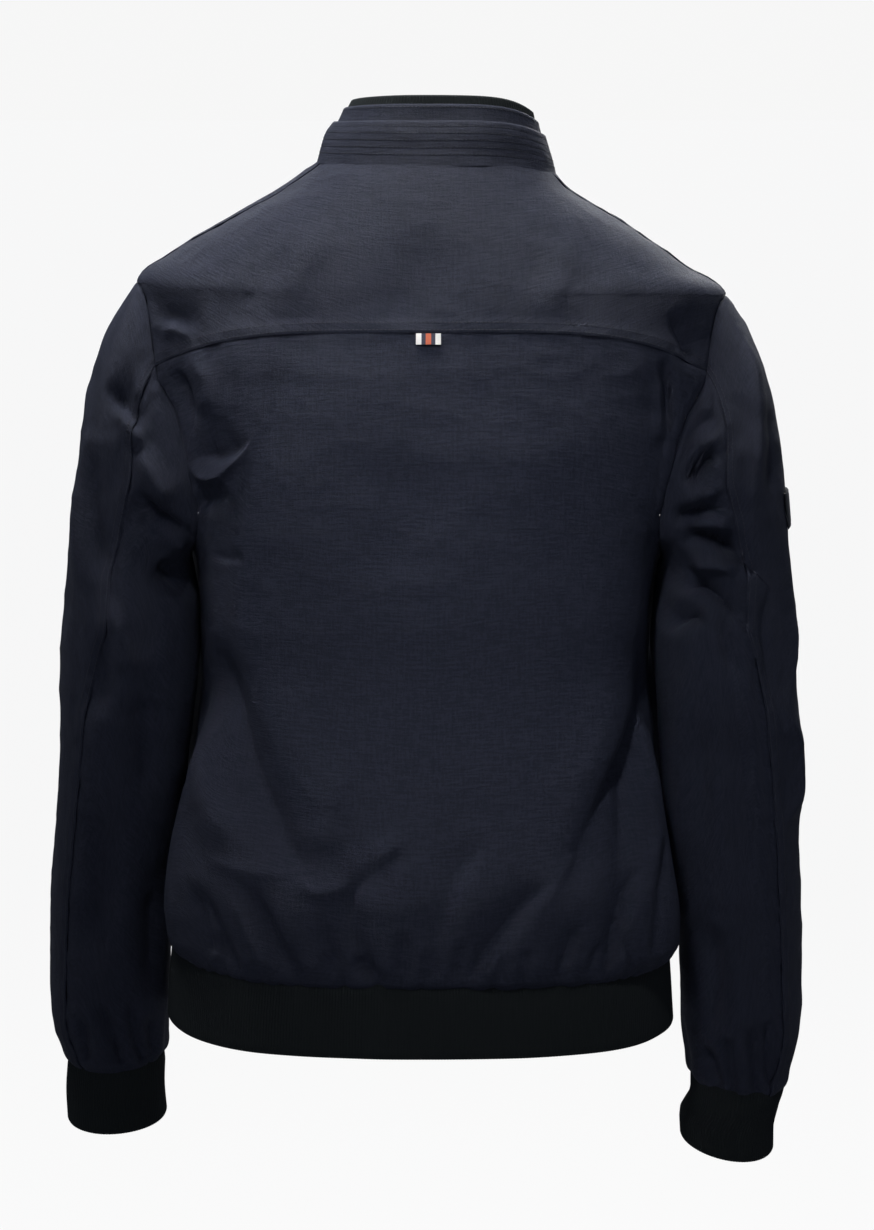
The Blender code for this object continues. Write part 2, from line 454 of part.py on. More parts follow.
def sleeve_plain(side, along, clock):
    """The sleeve, from 0 at the armhole through 1 at the biceps down to the cuff."""
    along, clock = np.broadcast_arrays(along, clock)
    down, turn = armhole(clock)
    start = torso(down, side * turn)
    below = np.full(clock.shape, BICEPS)
    end = tube(side, below, clock)
    reach = np.linalg.norm(end - start, axis=-1, keepdims=True)
    way = section(CAP_START, "clock", np.mod(np.degrees(clock) + 90, 360) - 90)
    leave = unit(np.stack([side * way["out"], way["back"], -way["down"]], axis=-1)) * reach
    arrive = unit(tube(side, below + 0.01, clock) - end) * reach
    t = np.minimum(along, 1)[..., None]
    cap = (
        (1 + 2 * t) * (1 - t) ** 2 * start
        + t * (1 - t) ** 2 * leave
        + t**2 * (3 - 2 * t) * end
        + t**2 * (t - 1) * arrive
    )
    lower = tube(side, BICEPS + CAP * np.maximum(along - 1, 0), clock)
    return np.where(along[..., None] < 1, cap, lower)


def sleeve(side, along, clock):
    plain = sleeve_plain(side, along, clock)
    outward = normals(lambda u, v: sleeve_plain(side, u, v), along, clock, -side)
    height = fold_height(plain, outward, SLEEVE_FOLDS[side]) * ramp(0, 0.2, along)
    moved = plain + outward * height[..., None]
    hold = ramp(CUFF_TOP[side] - 0.03, CUFF_TOP[side], BICEPS + CAP * (along - 1))
    level = sleeve_level(side, along, moved)
    moved[..., 2] += hold * (level - moved[..., 2]) * (plain[..., 2] < -BICEPS)
    return moved


def sleeve_level(side, along, points):
    """Height of the sleeve's ring plane at these points' X and Y."""
    below = BICEPS + CAP * (along - 1)
    part = section(SLEEVES[side], "below", below)
    out = side * (points[..., 0] - part["x"])
    return -below - part["lean"] * out - part["pitch"] * (points[..., 1] - part["y"])


def along_of(below):
    return 1 + (below - BICEPS) / CAP


YOKE_CLOCK = float(clock_at(np.array([YOKE]))[0])


# ---- Solids ----


def finish(name):
    material = bpy.data.materials.get(name)
    if material:
        return material
    material = bpy.data.materials.new(name)
    material.use_nodes = True
    shader = material.node_tree.nodes["Principled BSDF"]
    colour, roughness, metallic = FINISHES[name]
    shader.inputs["Base Color"].default_value = (*colour, 1)
    shader.inputs["Roughness"].default_value = roughness
    shader.inputs["Metallic"].default_value = metallic
    return material


def add_object(name, mesh, finish_name):
    mesh.shade_smooth()
    mesh.set_sharp_from_angle(angle=math.radians(50))
    obj = bpy.data.objects.new(name, mesh)
    obj.data.materials.append(finish(finish_name))
    bpy.context.scene.collection.objects.link(obj)
    return obj


def trim(grid, edges, amount):
    """Draws the named edges of a grid in along the surface."""
    grid = grid.copy()
    if "top" in edges:
        grid[0] += amount * unit(grid[1] - grid[0])
    if "bottom" in edges:
        grid[-1] += amount * unit(grid[-2] - grid[-1])
    if "start" in edges:
        grid[:, 0] += amount * unit(grid[:, 1] - grid[:, 0])
    if "end" in edges:
        grid[:, -1] += amount * unit(grid[:, -2] - grid[:, -1])
    return grid


def wall(name, outer, inner, finish_name):
    """A closed wall between two grids of the same shape."""
    rows, columns = outer.shape[:2]
    count = rows * columns
    number = np.arange(count).reshape(rows, columns)
    faces = []
    for r in range(rows - 1):
        for c in range(columns - 1):
            a, b = number[r, c], number[r, c + 1]
            d, e = number[r + 1, c], number[r + 1, c + 1]
            faces.append((a, b, e, d))
            faces.append((count + a, count + d, count + e, count + b))
    rim = list(number[0]) + list(number[1:, -1]) + list(number[-1, -2::-1]) + list(number[-2:0:-1, 0])
    points = np.concatenate([outer.reshape(-1, 3), inner.reshape(-1, 3)])
    for a, b in zip(rim, rim[1:] + rim[:1]):
        # Two walls that share a seam split its quads the same way, from the upper end.
        if points[a] @ (0.1, 0, 1) > points[b] @ (0.1, 0, 1):
            faces += [(b, a, count + b), (a, count + a, count + b)]
        else:
            faces += [(b, a, count + a), (b, count + a, count + b)]
    mesh = bpy.data.meshes.new(name)
    mesh.from_pydata(points.tolist(), [], [tuple(int(i) for i in face) for face in faces])
    return add_object(name, face_outward(mesh), finish_name)


def face_outward(mesh):
    """Turns every face round when the closed mesh is inside out."""
    shape = bmesh.new()
    shape.from_mesh(mesh)
    if shape.calc_volume(signed=True) < 0:
        bmesh.ops.reverse_faces(shape, faces=shape.faces[:])
    shape.to_mesh(mesh)
    shape.free()
    return mesh


def mitred(side, clock):
    """The shared wall direction at the armhole, between the body's cloth and the sleeve's."""
    down, turn = armhole(clock)
    body = normals(torso, down, side * turn)
    arm = normals(lambda u, v: sleeve(side, u, v), np.full(clock.shape, 0.004), clock, -side)
    return unit(body + arm)


def body_panel(name, drops, first_edge, last_edge, columns, edges, ease):
    """A panel of the body. Each edge is a function of the drop that gives the turn there.

    ease is how fast its columns leave the shape of a curved edge.
    """
    share = np.linspace(0, 1, columns)
    first, last = (edge(drops)[:, None] for edge in (first_edge, last_edge))
    low_first, low_last = (edge(np.array([HEM]))[0] for edge in (first_edge, last_edge))
    turn = low_first + (low_last - low_first) * share
    turn = turn + (first - low_first) * (1 - share) ** ease + (last - low_last) * share**ease
    down = np.repeat(drops[:, None], columns, axis=1)
    outer = torso(down, turn)
    outward = normals(torso, down, turn)
    for column in (0, -1):
        turns = turn[:, column]
        beside_sleeve = (drops > SHOULDER - TINY) & (drops < UNDERARM + TINY)
        rows = np.flatnonzero(beside_sleeve & (np.abs(np.cos(turns)) < 0.6))
        if len(rows):
            side = LEFT if turns[0] > 0 else RIGHT
            branch = 1 if np.cos(turns[rows]).sum() > 0 else -1
            outward[rows, column] = mitred(side, branch * clock_at(drops[rows]))
    inner = outer - WALL * outward
    if "bottom" in edges and math.isclose(drops[-1], HEM):
        inner[-1, :, 2] = outer[-1, :, 2]
    outer, inner = trim(outer, edges, GAP / 2), trim(inner, edges, GAP / 2)
    return wall(name, outer, inner, "navy_cloth")


def crowded(first, last, count, power=1.6):
    """Values that close up towards the last one."""
    share = np.linspace(0, 1, count)
    return first + (last - first) * (1 - (1 - share) ** power)


def armhole_drops(first_clock, last_clock, count):
    """Drops of even steps round the armhole's edge, without the first."""
    return armhole(np.linspace(first_clock, last_clock, count + 1)[1:])[0]


def zip_edge(side, down):
    """Turn of the front's edge beside the zip."""
    part = section(TORSO, "down", down)
    wide = part["wide_left"] if side == LEFT else part["wide_right"]
    return math.pi - ZIP_HALF * (1 - part["square"]) / (wide * (1 + 3 * part["square"]))


def build_body():
    low = crowded(UNDERARM, HEM, 17)[1:]
    back_drops = np.concatenate(([YOKE], armhole_drops(YOKE_CLOCK, math.pi, 8), low))
    body_panel(
        "back_panel", back_drops, lambda d: panel_edge(d, 1), lambda d: -panel_edge(d, 1), 35,
        ("top", "bottom", "start", "end"), 4,
    )
    yoke_drops = np.concatenate((np.linspace(0, SHOULDER, 6), armhole_drops(0, YOKE_CLOCK, 4)))
    body_panel(
        "back_yoke", yoke_drops, lambda d: panel_edge(d, 1), lambda d: -panel_edge(d, 1), 25,
        ("bottom", "start", "end"), 4,
    )
    steps = round(math.pi / CLOCK_STEP)
    front_drops = np.concatenate((np.linspace(0, SHOULDER, 6), armhole_drops(0, math.pi, steps), low))
    for name, side in (("front_left", LEFT), ("front_right", RIGHT)):
        body_panel(
            name, front_drops, lambda d: side * panel_edge(d, -1), lambda d: side * zip_edge(side, d), 12,
            ("bottom", "start"), 2,
        )


def back_seam_clock(side, along):
    places = np.concatenate(([0], BACK_SEAM[side]["along"]))
    clocks = np.concatenate(([YOKE_CLOCK], np.radians(BACK_SEAM[side]["clock"])))
    return smooth(places, clocks, along)


def build_sleeve(side, word):
    rows = np.concatenate(
        (HOLE_ROWS, crowded(1, along_of(CUFF_TOP[side]), 15, 1.4))
    )
    front = FRONT_SEAM + 2 * math.pi
    pieces = {  # the clocks of each piece's columns at the armhole
        f"sleeve_{word}_top": (np.linspace(FRONT_SEAM, 0, 5), np.linspace(0, YOKE_CLOCK, 5)[1:]),
        f"sleeve_{word}_under": (
            np.linspace(YOKE_CLOCK, math.pi, 9),
            np.linspace(math.pi, front, round((front - math.pi) / CLOCK_STEP) + 1)[1:],
        ),
    }
    for name, parts in pieces.items():
        hole = np.concatenate(parts)
        even = np.linspace(0, 1, len(hole))
        first, last = np.full(rows.shape, hole[0]), np.full(rows.shape, hole[-1])
        if name.endswith("top"):
            last = back_seam_clock(side, rows)
        else:
            first = back_seam_clock(side, rows)
        mix = ramp(0, 1, rows)[:, None]
        share = (1 - mix) * (hole - hole[0]) / (hole[-1] - hole[0]) + mix * even
        clock = first[:, None] + (last - first)[:, None] * share
        along = np.repeat(rows[:, None], len(hole), axis=1)
        outer = sleeve(side, along, clock)
        outward = normals(lambda u, v: sleeve(side, u, v), along, clock, -side)
        outward[0] = mitred(side, clock[0])
        inner = outer - WALL * outward
        inner[-1, :, 2] = sleeve_level(side, along[-1], inner[-1])
        edges = ("top", "bottom", "start", "end")
        outer, inner = trim(outer, edges, GAP / 2), trim(inner, edges, GAP / 2)
        wall(name, outer, inner, "navy_cloth")


def build_cuff(side, word):
    """A tube of knit that is one ring all round."""
    name, columns = f"cuff_{word}", 24
    rows = np.linspace(along_of(CUFF_TOP[side] + GAP), along_of(CUFF_END[side]), 4)
    turn = np.linspace(0, 2 * math.pi, columns + 1)[:-1]
    u, v = np.meshgrid(rows, turn, indexing="ij")
    outer = sleeve_plain(side, u, v)
    inner = outer - WALL * normals(lambda a, b: sleeve_plain(side, a, b), u, v, -side)
    inner[..., 2] = sleeve_level(side, u, inner)
    count = outer.shape[0] * columns
    number = np.arange(count).reshape(len(rows), columns)
    faces = []
    for c in range(columns):
        n = (c + 1) % columns
        for r in range(len(rows) - 1):
            faces.append((number[r, c], number[r, n], number[r + 1, n], number[r + 1, c]))
            faces.append(tuple(count + number[[r, r + 1, r + 1, r], [c, c, n, n]]))
        faces.append((number[0, n], number[0, c], count + number[0, c], count + number[0, n]))
        faces.append((number[-1, c], number[-1, n], count + number[-1, n], count + number[-1, c]))
    mesh = bpy.data.meshes.new(name)
    points = np.concatenate([outer.reshape(-1, 3), inner.reshape(-1, 3)])
    mesh.from_pydata(points.tolist(), [], [tuple(int(i) for i in face) for face in faces])
    add_object(name, face_outward(mesh), "dark_rib")


def open_band(name, surface, rows, seam_row, columns, depth, finish_name):
    """A band of the body or the collar, open at the zip. depth is how far it lies inside the surface."""
    half = math.pi - ZIP_HALF / (surface(rows[:1], np.array([math.pi / 2]))[0, 0])
    turn = np.linspace(-half, half, columns)
    u, v = np.meshgrid(rows, turn, indexing="ij")
    outward = normals(surface, u, v)
    outward[seam_row, :, 2] = 0
    points = surface(u, v)
    wall(name, points - depth * outward, points - (depth + WALL) * outward, finish_name)


def build_bands():
    open_band("hem_rib", torso_plain, np.linspace(HEM + GAP, HEM_END, 3), 0, 49, 0, "dark_rib")
    layers = (  # each lies inside the one before it and stands higher
        ("collar_stand", STAND_HEIGHT, STAND_FOOT, "navy_cloth"),
        ("collar_band", BAND_HEIGHT, BAND_FOOT, "navy_cloth"),
        ("collar_rib", RIB_HEIGHT, RIB_FOOT, "dark_rib"),
    )
    for index, (name, top, foot, finish_name) in enumerate(layers):
        depth = index * (WALL + 1.8 * GAP)
        open_band(name, collar, np.linspace(-top, -foot, 5), -1, 37, depth, finish_name)


def front_line(drop):
    """A point at the centre front and its outward normal. On the collar the drop is under 0."""
    at, centre = np.array([drop]), np.array([math.pi])
    surface = collar if drop < 0 else torso_plain
    return surface(at, centre)[0], normals(surface, at, centre)[0]


def build_zip_tapes():
    drops = np.concatenate((np.linspace(-ZIP_TOP, -0.003, 4), np.linspace(0.002, HEM_END, 24)))
    lines = [front_line(drop) for drop in drops]
    for name, side in (("zip_tape_left", LEFT), ("zip_tape_right", RIGHT)):
        near, far = side * GAP / 2, side * (ZIP_HALF - GAP)
        outer = np.array([[point + (x, 0, 0) for x in (near, far)] for point, _ in lines])
        outward = np.array([[normal * (0, 1, 1)] * 2 for _, normal in lines])
        wall(name, outer, outer - 0.75 * WALL * unit(outward), "zip_tape")


def block(size, centre, bevel=0.0):
    """A mesh of one box with rounded edges, as a bmesh."""
    shape = bmesh.new()
    matrix = Matrix.Translation(centre) @ Matrix.Diagonal((*size, 1))
    bmesh.ops.create_cube(shape, size=1, matrix=matrix)
    if bevel:
        bmesh.ops.bevel(shape, geom=shape.edges[:], offset=bevel, segments=2, profile=0.5, affect="EDGES")
    return shape


def helper(name, shape):
    """An object that only cuts or joins another."""
    mesh = bpy.data.meshes.new(name)
    shape.to_mesh(mesh)
    shape.free()
    obj = bpy.data.objects.new(name, mesh)
    obj.hide_render = True
    obj.display_type = "WIRE"
    bpy.context.scene.collection.objects.link(obj)
    return obj


def placed(name, shape, frame, tools, finish_name):
    """A solid in the slider's own frame, with its Boolean tools, put at the zip by an object matrix."""
    mesh = bpy.data.meshes.new(name)
    shape.to_mesh(mesh)
    shape.free()
    obj = add_object(name, mesh, finish_name)
    obj.matrix_world = frame
    for operation, tool in tools:
        tool.matrix_world = frame
        modifier = obj.modifiers.new(tool.name, "BOOLEAN")
        modifier.operation = operation
        modifier.object = tool
    return obj


def zip_frame(drop, off):
    """X across, Y along the zip upwards, Z out of the cloth."""
    point, normal = front_line(drop)
    out = Vector(normal * (0, 1, 1)).normalized()
    up = out.cross(Vector((1, 0, 0)))
    if up.z < 0:
        up = -up
    matrix = Matrix((up.cross(out), up, out)).transposed().to_4x4()
    matrix.translation = Vector(point) + off * out
    return matrix


def build_slider():
    frame = zip_frame(-SLIDER_HEIGHT, SLIDER_OFF)
    top = SLIDER[2]
    body = block(SLIDER, (0, 0, top / 2), 0.0008)
    wide, long, high = BRIDGE
    sunk = 0.001  # how deep the bridge's feet go into the slider
    arch = block((wide, long, high + sunk), (0, 0, top + (high - sunk) / 2), 0.0005)
    tunnel = block((2 * wide, *BRIDGE_EYE), (0, 0, top + BRIDGE_EYE[1] / 2))
    tools = (("UNION", helper("bridge", arch)), ("DIFFERENCE", helper("eye", tunnel)))
    placed("zip_slider", body, frame, tools, "dark_metal")

    pivot = zip_frame(-SLIDER_HEIGHT, SLIDER_OFF + top + BRIDGE_EYE[1] / 2)
    bar = PULL[2] / 2
    plate = block(PULL, (0, bar - PULL[1] / 2, 0), 0.0004)
    window = block((*PULL_EYE, 4 * PULL[2]), (0, -bar - PULL_EYE[1] / 2, 0))
    placed("zip_pull", plate, pivot, (("DIFFERENCE", helper("window", window)),), "dark_metal")

    foot = zip_frame(HEM_END - BOX_RISE, SLIDER_OFF)
    placed("zip_box", block(ZIP_BOX, (0, 0, ZIP_BOX[2] / 2), 0.0006), foot, (), "dark_metal")


def laid_on(name, panel, points, directions, thickness, finish_name):
    """A flat piece made from a panel's own surface, moved out of it."""
    tree = BVHTree.FromObject(bpy.data.objects[panel], bpy.context.evaluated_depsgraph_get())
    under = np.empty_like(points)
    for index in np.ndindex(points.shape[:2]):
        way = Vector(directions[index])
        hit = tree.ray_cast(Vector(points[index]) + 0.02 * way, -way)[0]
        under[index] = np.array(hit) + LAID_ON * directions[index]
    wall(name, under + thickness * directions, under, finish_name)


def build_pockets():
    for name, panel, side in (
        ("pocket_welt_left", "front_left", LEFT),
        ("pocket_welt_right", "front_right", RIGHT),
    ):
        share = np.linspace(0, 1, 17)[:, None]
        across = np.linspace(-0.5, 0.5, 4)[None, :]
        top, bottom = WELT_ENDS
        from_front = WELT_TURNS[0] + (WELT_TURNS[1] - WELT_TURNS[0]) * share
        radius = section(TORSO, "down", np.array([bottom]))["wide_left"]
        down = top + (bottom - top) * share - 0.4 * WELT_WIDTH * across
        turn = side * (math.pi - from_front + WELT_WIDTH / radius * across)
        laid_on(
            name, panel, torso(down, turn), normals(torso, down, turn), WELT_THICK, "navy_cloth"
        )


def build_trims():
    wide, tall, thick = TAB_SIZE
    x, drop = np.meshgrid(np.linspace(-0.5, 0.5, 8), np.linspace(0, 1, 4))
    down = YOKE + 3 * GAP + tall * drop
    radius = section(TORSO, "down", np.array([YOKE]))["wide_left"]
    turn = (TAB_X + wide * x) / radius
    points, outward = torso(down, turn), normals(torso, down, turn)
    laid_on("yoke_tab", "back_panel", points, outward, thick, "striped_tab")

    wide, tall, thick = PATCH_SIZE
    spread, drop = np.meshgrid(np.linspace(-0.5, 0.5, 7), np.linspace(-0.5, 0.5, 5))
    radius = SLEEVES[RIGHT]["deep"][0]
    clock = PATCH_CLOCK + wide * spread / radius
    along = PATCH_ALONG + tall * drop / (BICEPS - SHOULDER)
    points = sleeve(RIGHT, along, clock)
    outward = normals(lambda u, v: sleeve(RIGHT, u, v), along, clock, -RIGHT)
    laid_on("sleeve_patch", "sleeve_right_top", points, outward, thick, "patch")


for old in list(bpy.data.objects):
    bpy.data.objects.remove(old)
build_body()
for hand, word in ((LEFT, "left"), (RIGHT, "right")):
    build_sleeve(hand, word)
    build_cuff(hand, word)
build_bands()
build_zip_tapes()
build_slider()
build_pockets()
build_trims()
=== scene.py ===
# The visual model of a navy harrington jacket, worn but with no wearer: thin shells of cloth on the
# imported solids, with their folds, seams, stitches, knit and zip.
import math

import bmesh
import bpy
import numpy as np
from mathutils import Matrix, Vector


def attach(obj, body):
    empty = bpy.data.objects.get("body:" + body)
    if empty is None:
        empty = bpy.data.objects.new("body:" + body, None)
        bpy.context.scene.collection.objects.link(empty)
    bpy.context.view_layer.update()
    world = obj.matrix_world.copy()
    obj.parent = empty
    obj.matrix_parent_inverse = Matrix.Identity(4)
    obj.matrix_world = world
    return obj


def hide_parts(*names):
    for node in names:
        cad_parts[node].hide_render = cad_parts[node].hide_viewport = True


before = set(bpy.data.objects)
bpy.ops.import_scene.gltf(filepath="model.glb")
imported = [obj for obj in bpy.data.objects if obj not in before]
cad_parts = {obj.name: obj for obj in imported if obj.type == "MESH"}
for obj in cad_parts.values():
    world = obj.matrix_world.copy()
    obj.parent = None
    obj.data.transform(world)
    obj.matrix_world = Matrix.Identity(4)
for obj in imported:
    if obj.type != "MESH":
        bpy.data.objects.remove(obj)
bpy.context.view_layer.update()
scene = bpy.context.scene
coarse = 1

wearerLeft, wearerRight = 1, -1
words = {wearerLeft: "left", wearerRight: "right"}
shoulder, yoke, underarm, hem, hemEnd = 0.095, 0.1235, 0.270, 0.617, 0.669  # drops down the centre back
standHeight, bandHeight, ribHeight = 0.034, 0.047, 0.0555  # heights of the collar's layers
biceps, capDrop = 0.310, 0.200  # where the sleeve cap ends, and the sleeve's drop for each unit below it
cuffTop = {wearerLeft: 0.7056, wearerRight: 0.726}
cuffEnd = {wearerLeft: 0.7565, wearerRight: 0.779}
armholeSpread, armholeSquare = math.radians(30), 3.0
neckTurn = math.radians(74)  # where the shoulder seam meets the neck
lobeTurn, lobeSpread = math.radians(58), 0.28
zipHalf = 0.007


def table(columns, *rows):
    return dict(zip(columns.split(), np.array(rows, float).T))


ringColumns = "back left right front wideLeft wideRight deepBack deepFront square"
lobeColumns = " lobeBack lobeFront"
sleeveColumns = "below x y wide deep lean pitch square"

bodyRings = table(
    "down " + ringColumns + lobeColumns,
    (0.000, 0.003, 0.004, -0.005, -0.062, 0.088, 0.095, 0.070, -0.070, 0.00, 0.000, 0.000),
    (0.017, -0.014, -0.012, -0.016, -0.078, 0.109, 0.106, 0.080, -0.080, 0.00, 0.000, 0.000),
    (0.045, -0.042, -0.036, -0.040, -0.105, 0.150, 0.145, 0.092, -0.090, 0.00, 0.000, 0.000),
    (0.075, -0.072, -0.063, -0.075, -0.134, 0.196, 0.195, 0.102, -0.099, 0.00, 0.000, 0.000),
    (shoulder, -0.092, -0.087, -0.097, -0.153, 0.226, 0.2255, 0.107, -0.104, 0.00, 0.000, 0.000),
    (yoke, -0.120, -0.165, -0.172, -0.180, 0.232, 0.231, 0.113, -0.110, 0.01, 0.000, 0.000),
    (0.165, -0.162, -0.213, -0.218, -0.217, 0.214, 0.211, 0.121, -0.116, 0.03, 0.000, 0.000),
    (0.215, -0.212, -0.252, -0.255, -0.260, 0.199, 0.195, 0.126, -0.120, 0.045, 0.000, 0.000),
    (underarm, -0.267, -0.290, -0.292, -0.300, 0.183, 0.176, 0.127, -0.123, 0.055, 0.000, 0.022),
    (0.330, -0.327, -0.340, -0.341, -0.345, 0.1775, 0.1675, 0.1245, -0.125, 0.06, 0.001, 0.034),
    (0.385, -0.382, -0.388, -0.389, -0.392, 0.1775, 0.1665, 0.1205, -0.125, 0.06, -0.004, 0.032),
    (0.440, -0.437, -0.440, -0.441, -0.443, 0.183, 0.1720, 0.1245, -0.127, 0.055, 0.010, 0.029),
    (0.505, -0.502, -0.500, -0.503, -0.505, 0.194, 0.1755, 0.134, -0.134, 0.05, 0.018, 0.023),
    (0.555, -0.552, -0.546, -0.551, -0.553, 0.2020, 0.1845, 0.145, -0.142, 0.045, 0.019, 0.012),
    (0.595, -0.592, -0.581, -0.592, -0.592, 0.2055, 0.1915, 0.145, -0.141, 0.04, 0.012, 0.003),
    (hem, -0.614, -0.600, -0.611, -0.612, 0.2035, 0.1865, 0.134, -0.131, 0.04, 0.000, 0.000),
    (0.643, -0.640, -0.628, -0.637, -0.638, 0.2060, 0.188, 0.1345, -0.1315, 0.04, 0.000, 0.000),
    (hemEnd, -0.666, -0.6575, -0.6625, -0.664, 0.2075, 0.1895, 0.135, -0.132, 0.04, 0.000, 0.000),
)

collarRings = table(
    "down " + ringColumns,
    (-0.057, 0.0575, 0.0555, 0.0450, -0.0075, 0.0645, 0.0820, 0.0540, -0.0610, 0.00),
    (-bandHeight, 0.0490, 0.0470, 0.0360, -0.0165, 0.0690, 0.0840, 0.0565, -0.0630, 0.00),
    (-standHeight, 0.0360, 0.0350, 0.0250, -0.0285, 0.0745, 0.0868, 0.0600, -0.0650, 0.00),
    (-0.024, 0.0265, 0.0265, 0.0155, -0.038, 0.0800, 0.0895, 0.0635, -0.0670, 0.00),
    (-0.012, 0.0145, 0.0155, 0.0055, -0.049, 0.0845, 0.0925, 0.0665, -0.0685, 0.00),
    (0.000, 0.003, 0.004, -0.005, -0.062, 0.088, 0.095, 0.070, -0.070, 0.00),
)

sleeveRings = {
    wearerLeft: table(
        sleeveColumns,
        (biceps, 0.2338, -0.003, 0.0500, 0.066, 0.00, 0.00, 0.02),
        (0.334, 0.2328, -0.002, 0.0528, 0.066, 0.00, 0.00, 0.02),
        (0.365, 0.2339, -0.001, 0.0536, 0.064, 0.00, 0.00, 0.02),
        (0.4125, 0.2363, -0.003, 0.0534, 0.061, 0.00, 0.03, 0.02),
        (0.460, 0.2407, -0.010, 0.0519, 0.058, 0.00, 0.08, 0.02),
        (0.509, 0.2475, -0.018, 0.0487, 0.055, 0.02, 0.12, 0.02),
        (0.558, 0.2530, -0.026, 0.0469, 0.052, 0.03, 0.14, 0.02),
        (0.605, 0.2550, -0.033, 0.0470, 0.050, 0.03, 0.15, 0.02),
        (0.659, 0.2560, -0.040, 0.0477, 0.049, 0.03, 0.16, 0.02),
        (0.677, 0.2558, -0.042, 0.0459, 0.047, 0.03, 0.16, 0.01),
        (0.693, 0.2535, -0.044, 0.0424, 0.044, 0.03, 0.16, 0.00),
        (0.7056, 0.2525, -0.046, 0.0388, 0.041, 0.03, 0.16, 0.00),
        (0.731, 0.2538, -0.050, 0.0392, 0.041, 0.04, 0.16, 0.00),
        (0.7565, 0.2525, -0.053, 0.0397, 0.042, 0.05, 0.16, 0.00),
    ),
    wearerRight: table(
        sleeveColumns,
        (biceps, -0.2262, -0.003, 0.0520, 0.066, 0.00, 0.00, 0.02),
        (0.334, -0.2256, -0.002, 0.0547, 0.066, 0.00, 0.00, 0.02),
        (0.365, -0.2263, -0.001, 0.0567, 0.064, 0.00, 0.00, 0.02),
        (0.4125, -0.2303, -0.003, 0.0565, 0.061, 0.00, 0.03, 0.02),
        (0.460, -0.2327, -0.010, 0.0562, 0.058, 0.00, 0.08, 0.02),
        (0.509, -0.2357, -0.018, 0.0557, 0.055, 0.02, 0.12, 0.02),
        (0.558, -0.2405, -0.026, 0.0516, 0.053, 0.03, 0.14, 0.02),
        (0.592, -0.2437, -0.031, 0.0487, 0.051, 0.03, 0.15, 0.02),
        (0.627, -0.2450, -0.036, 0.0484, 0.050, 0.04, 0.16, 0.02),
        (0.676, -0.2470, -0.042, 0.0475, 0.049, 0.06, 0.16, 0.02),
        (0.693, -0.2463, -0.044, 0.0459, 0.047, 0.08, 0.16, 0.01),
        (0.709, -0.2460, -0.046, 0.0432, 0.0445, 0.09, 0.16, 0.00),
        (0.726, -0.2450, -0.047, 0.0380, 0.041, 0.10, 0.16, 0.00),
        (0.743, -0.2425, -0.050, 0.0352, 0.040, 0.13, 0.16, 0.00),
        (0.761, -0.2365, -0.052, 0.0375, 0.041, 0.15, 0.16, 0.00),
        (0.779, -0.2370, -0.054, 0.0370, 0.041, 0.15, 0.16, 0.00),
    ),
}

capLeaves = table(
    "clock out back down",
    (-90, 0.85, -0.20, 0.55),
    (-45, 0.72, -0.25, 0.62),
    (0, 0.62, 0.00, 0.80),
    (45, 0.72, 0.25, 0.62),
    (90, 0.85, 0.20, 0.55),
    (135, 0.75, 0.15, 0.80),
    (180, 0.60, 0.00, 0.80),
    (225, 0.75, -0.15, 0.80),
    (270, 0.85, -0.20, 0.55),
)

backSeams = {
    wearerLeft: table(
        "along clock",
        (0.25, 72), (0.50, 84), (0.75, 85), (1.00, 78), (1.19, 76), (1.31, 67),
        (1.57, 58), (1.80, 56), (2.15, 53), (2.60, 50), (3.20, 48),
    ),
    wearerRight: table(
        "along clock",
        (0.25, 72), (0.50, 84), (0.75, 82), (1.00, 75), (1.19, 75), (1.31, 69),
        (1.57, 64), (1.90, 59), (2.30, 56), (2.65, 54), (3.30, 50),
    ),
}

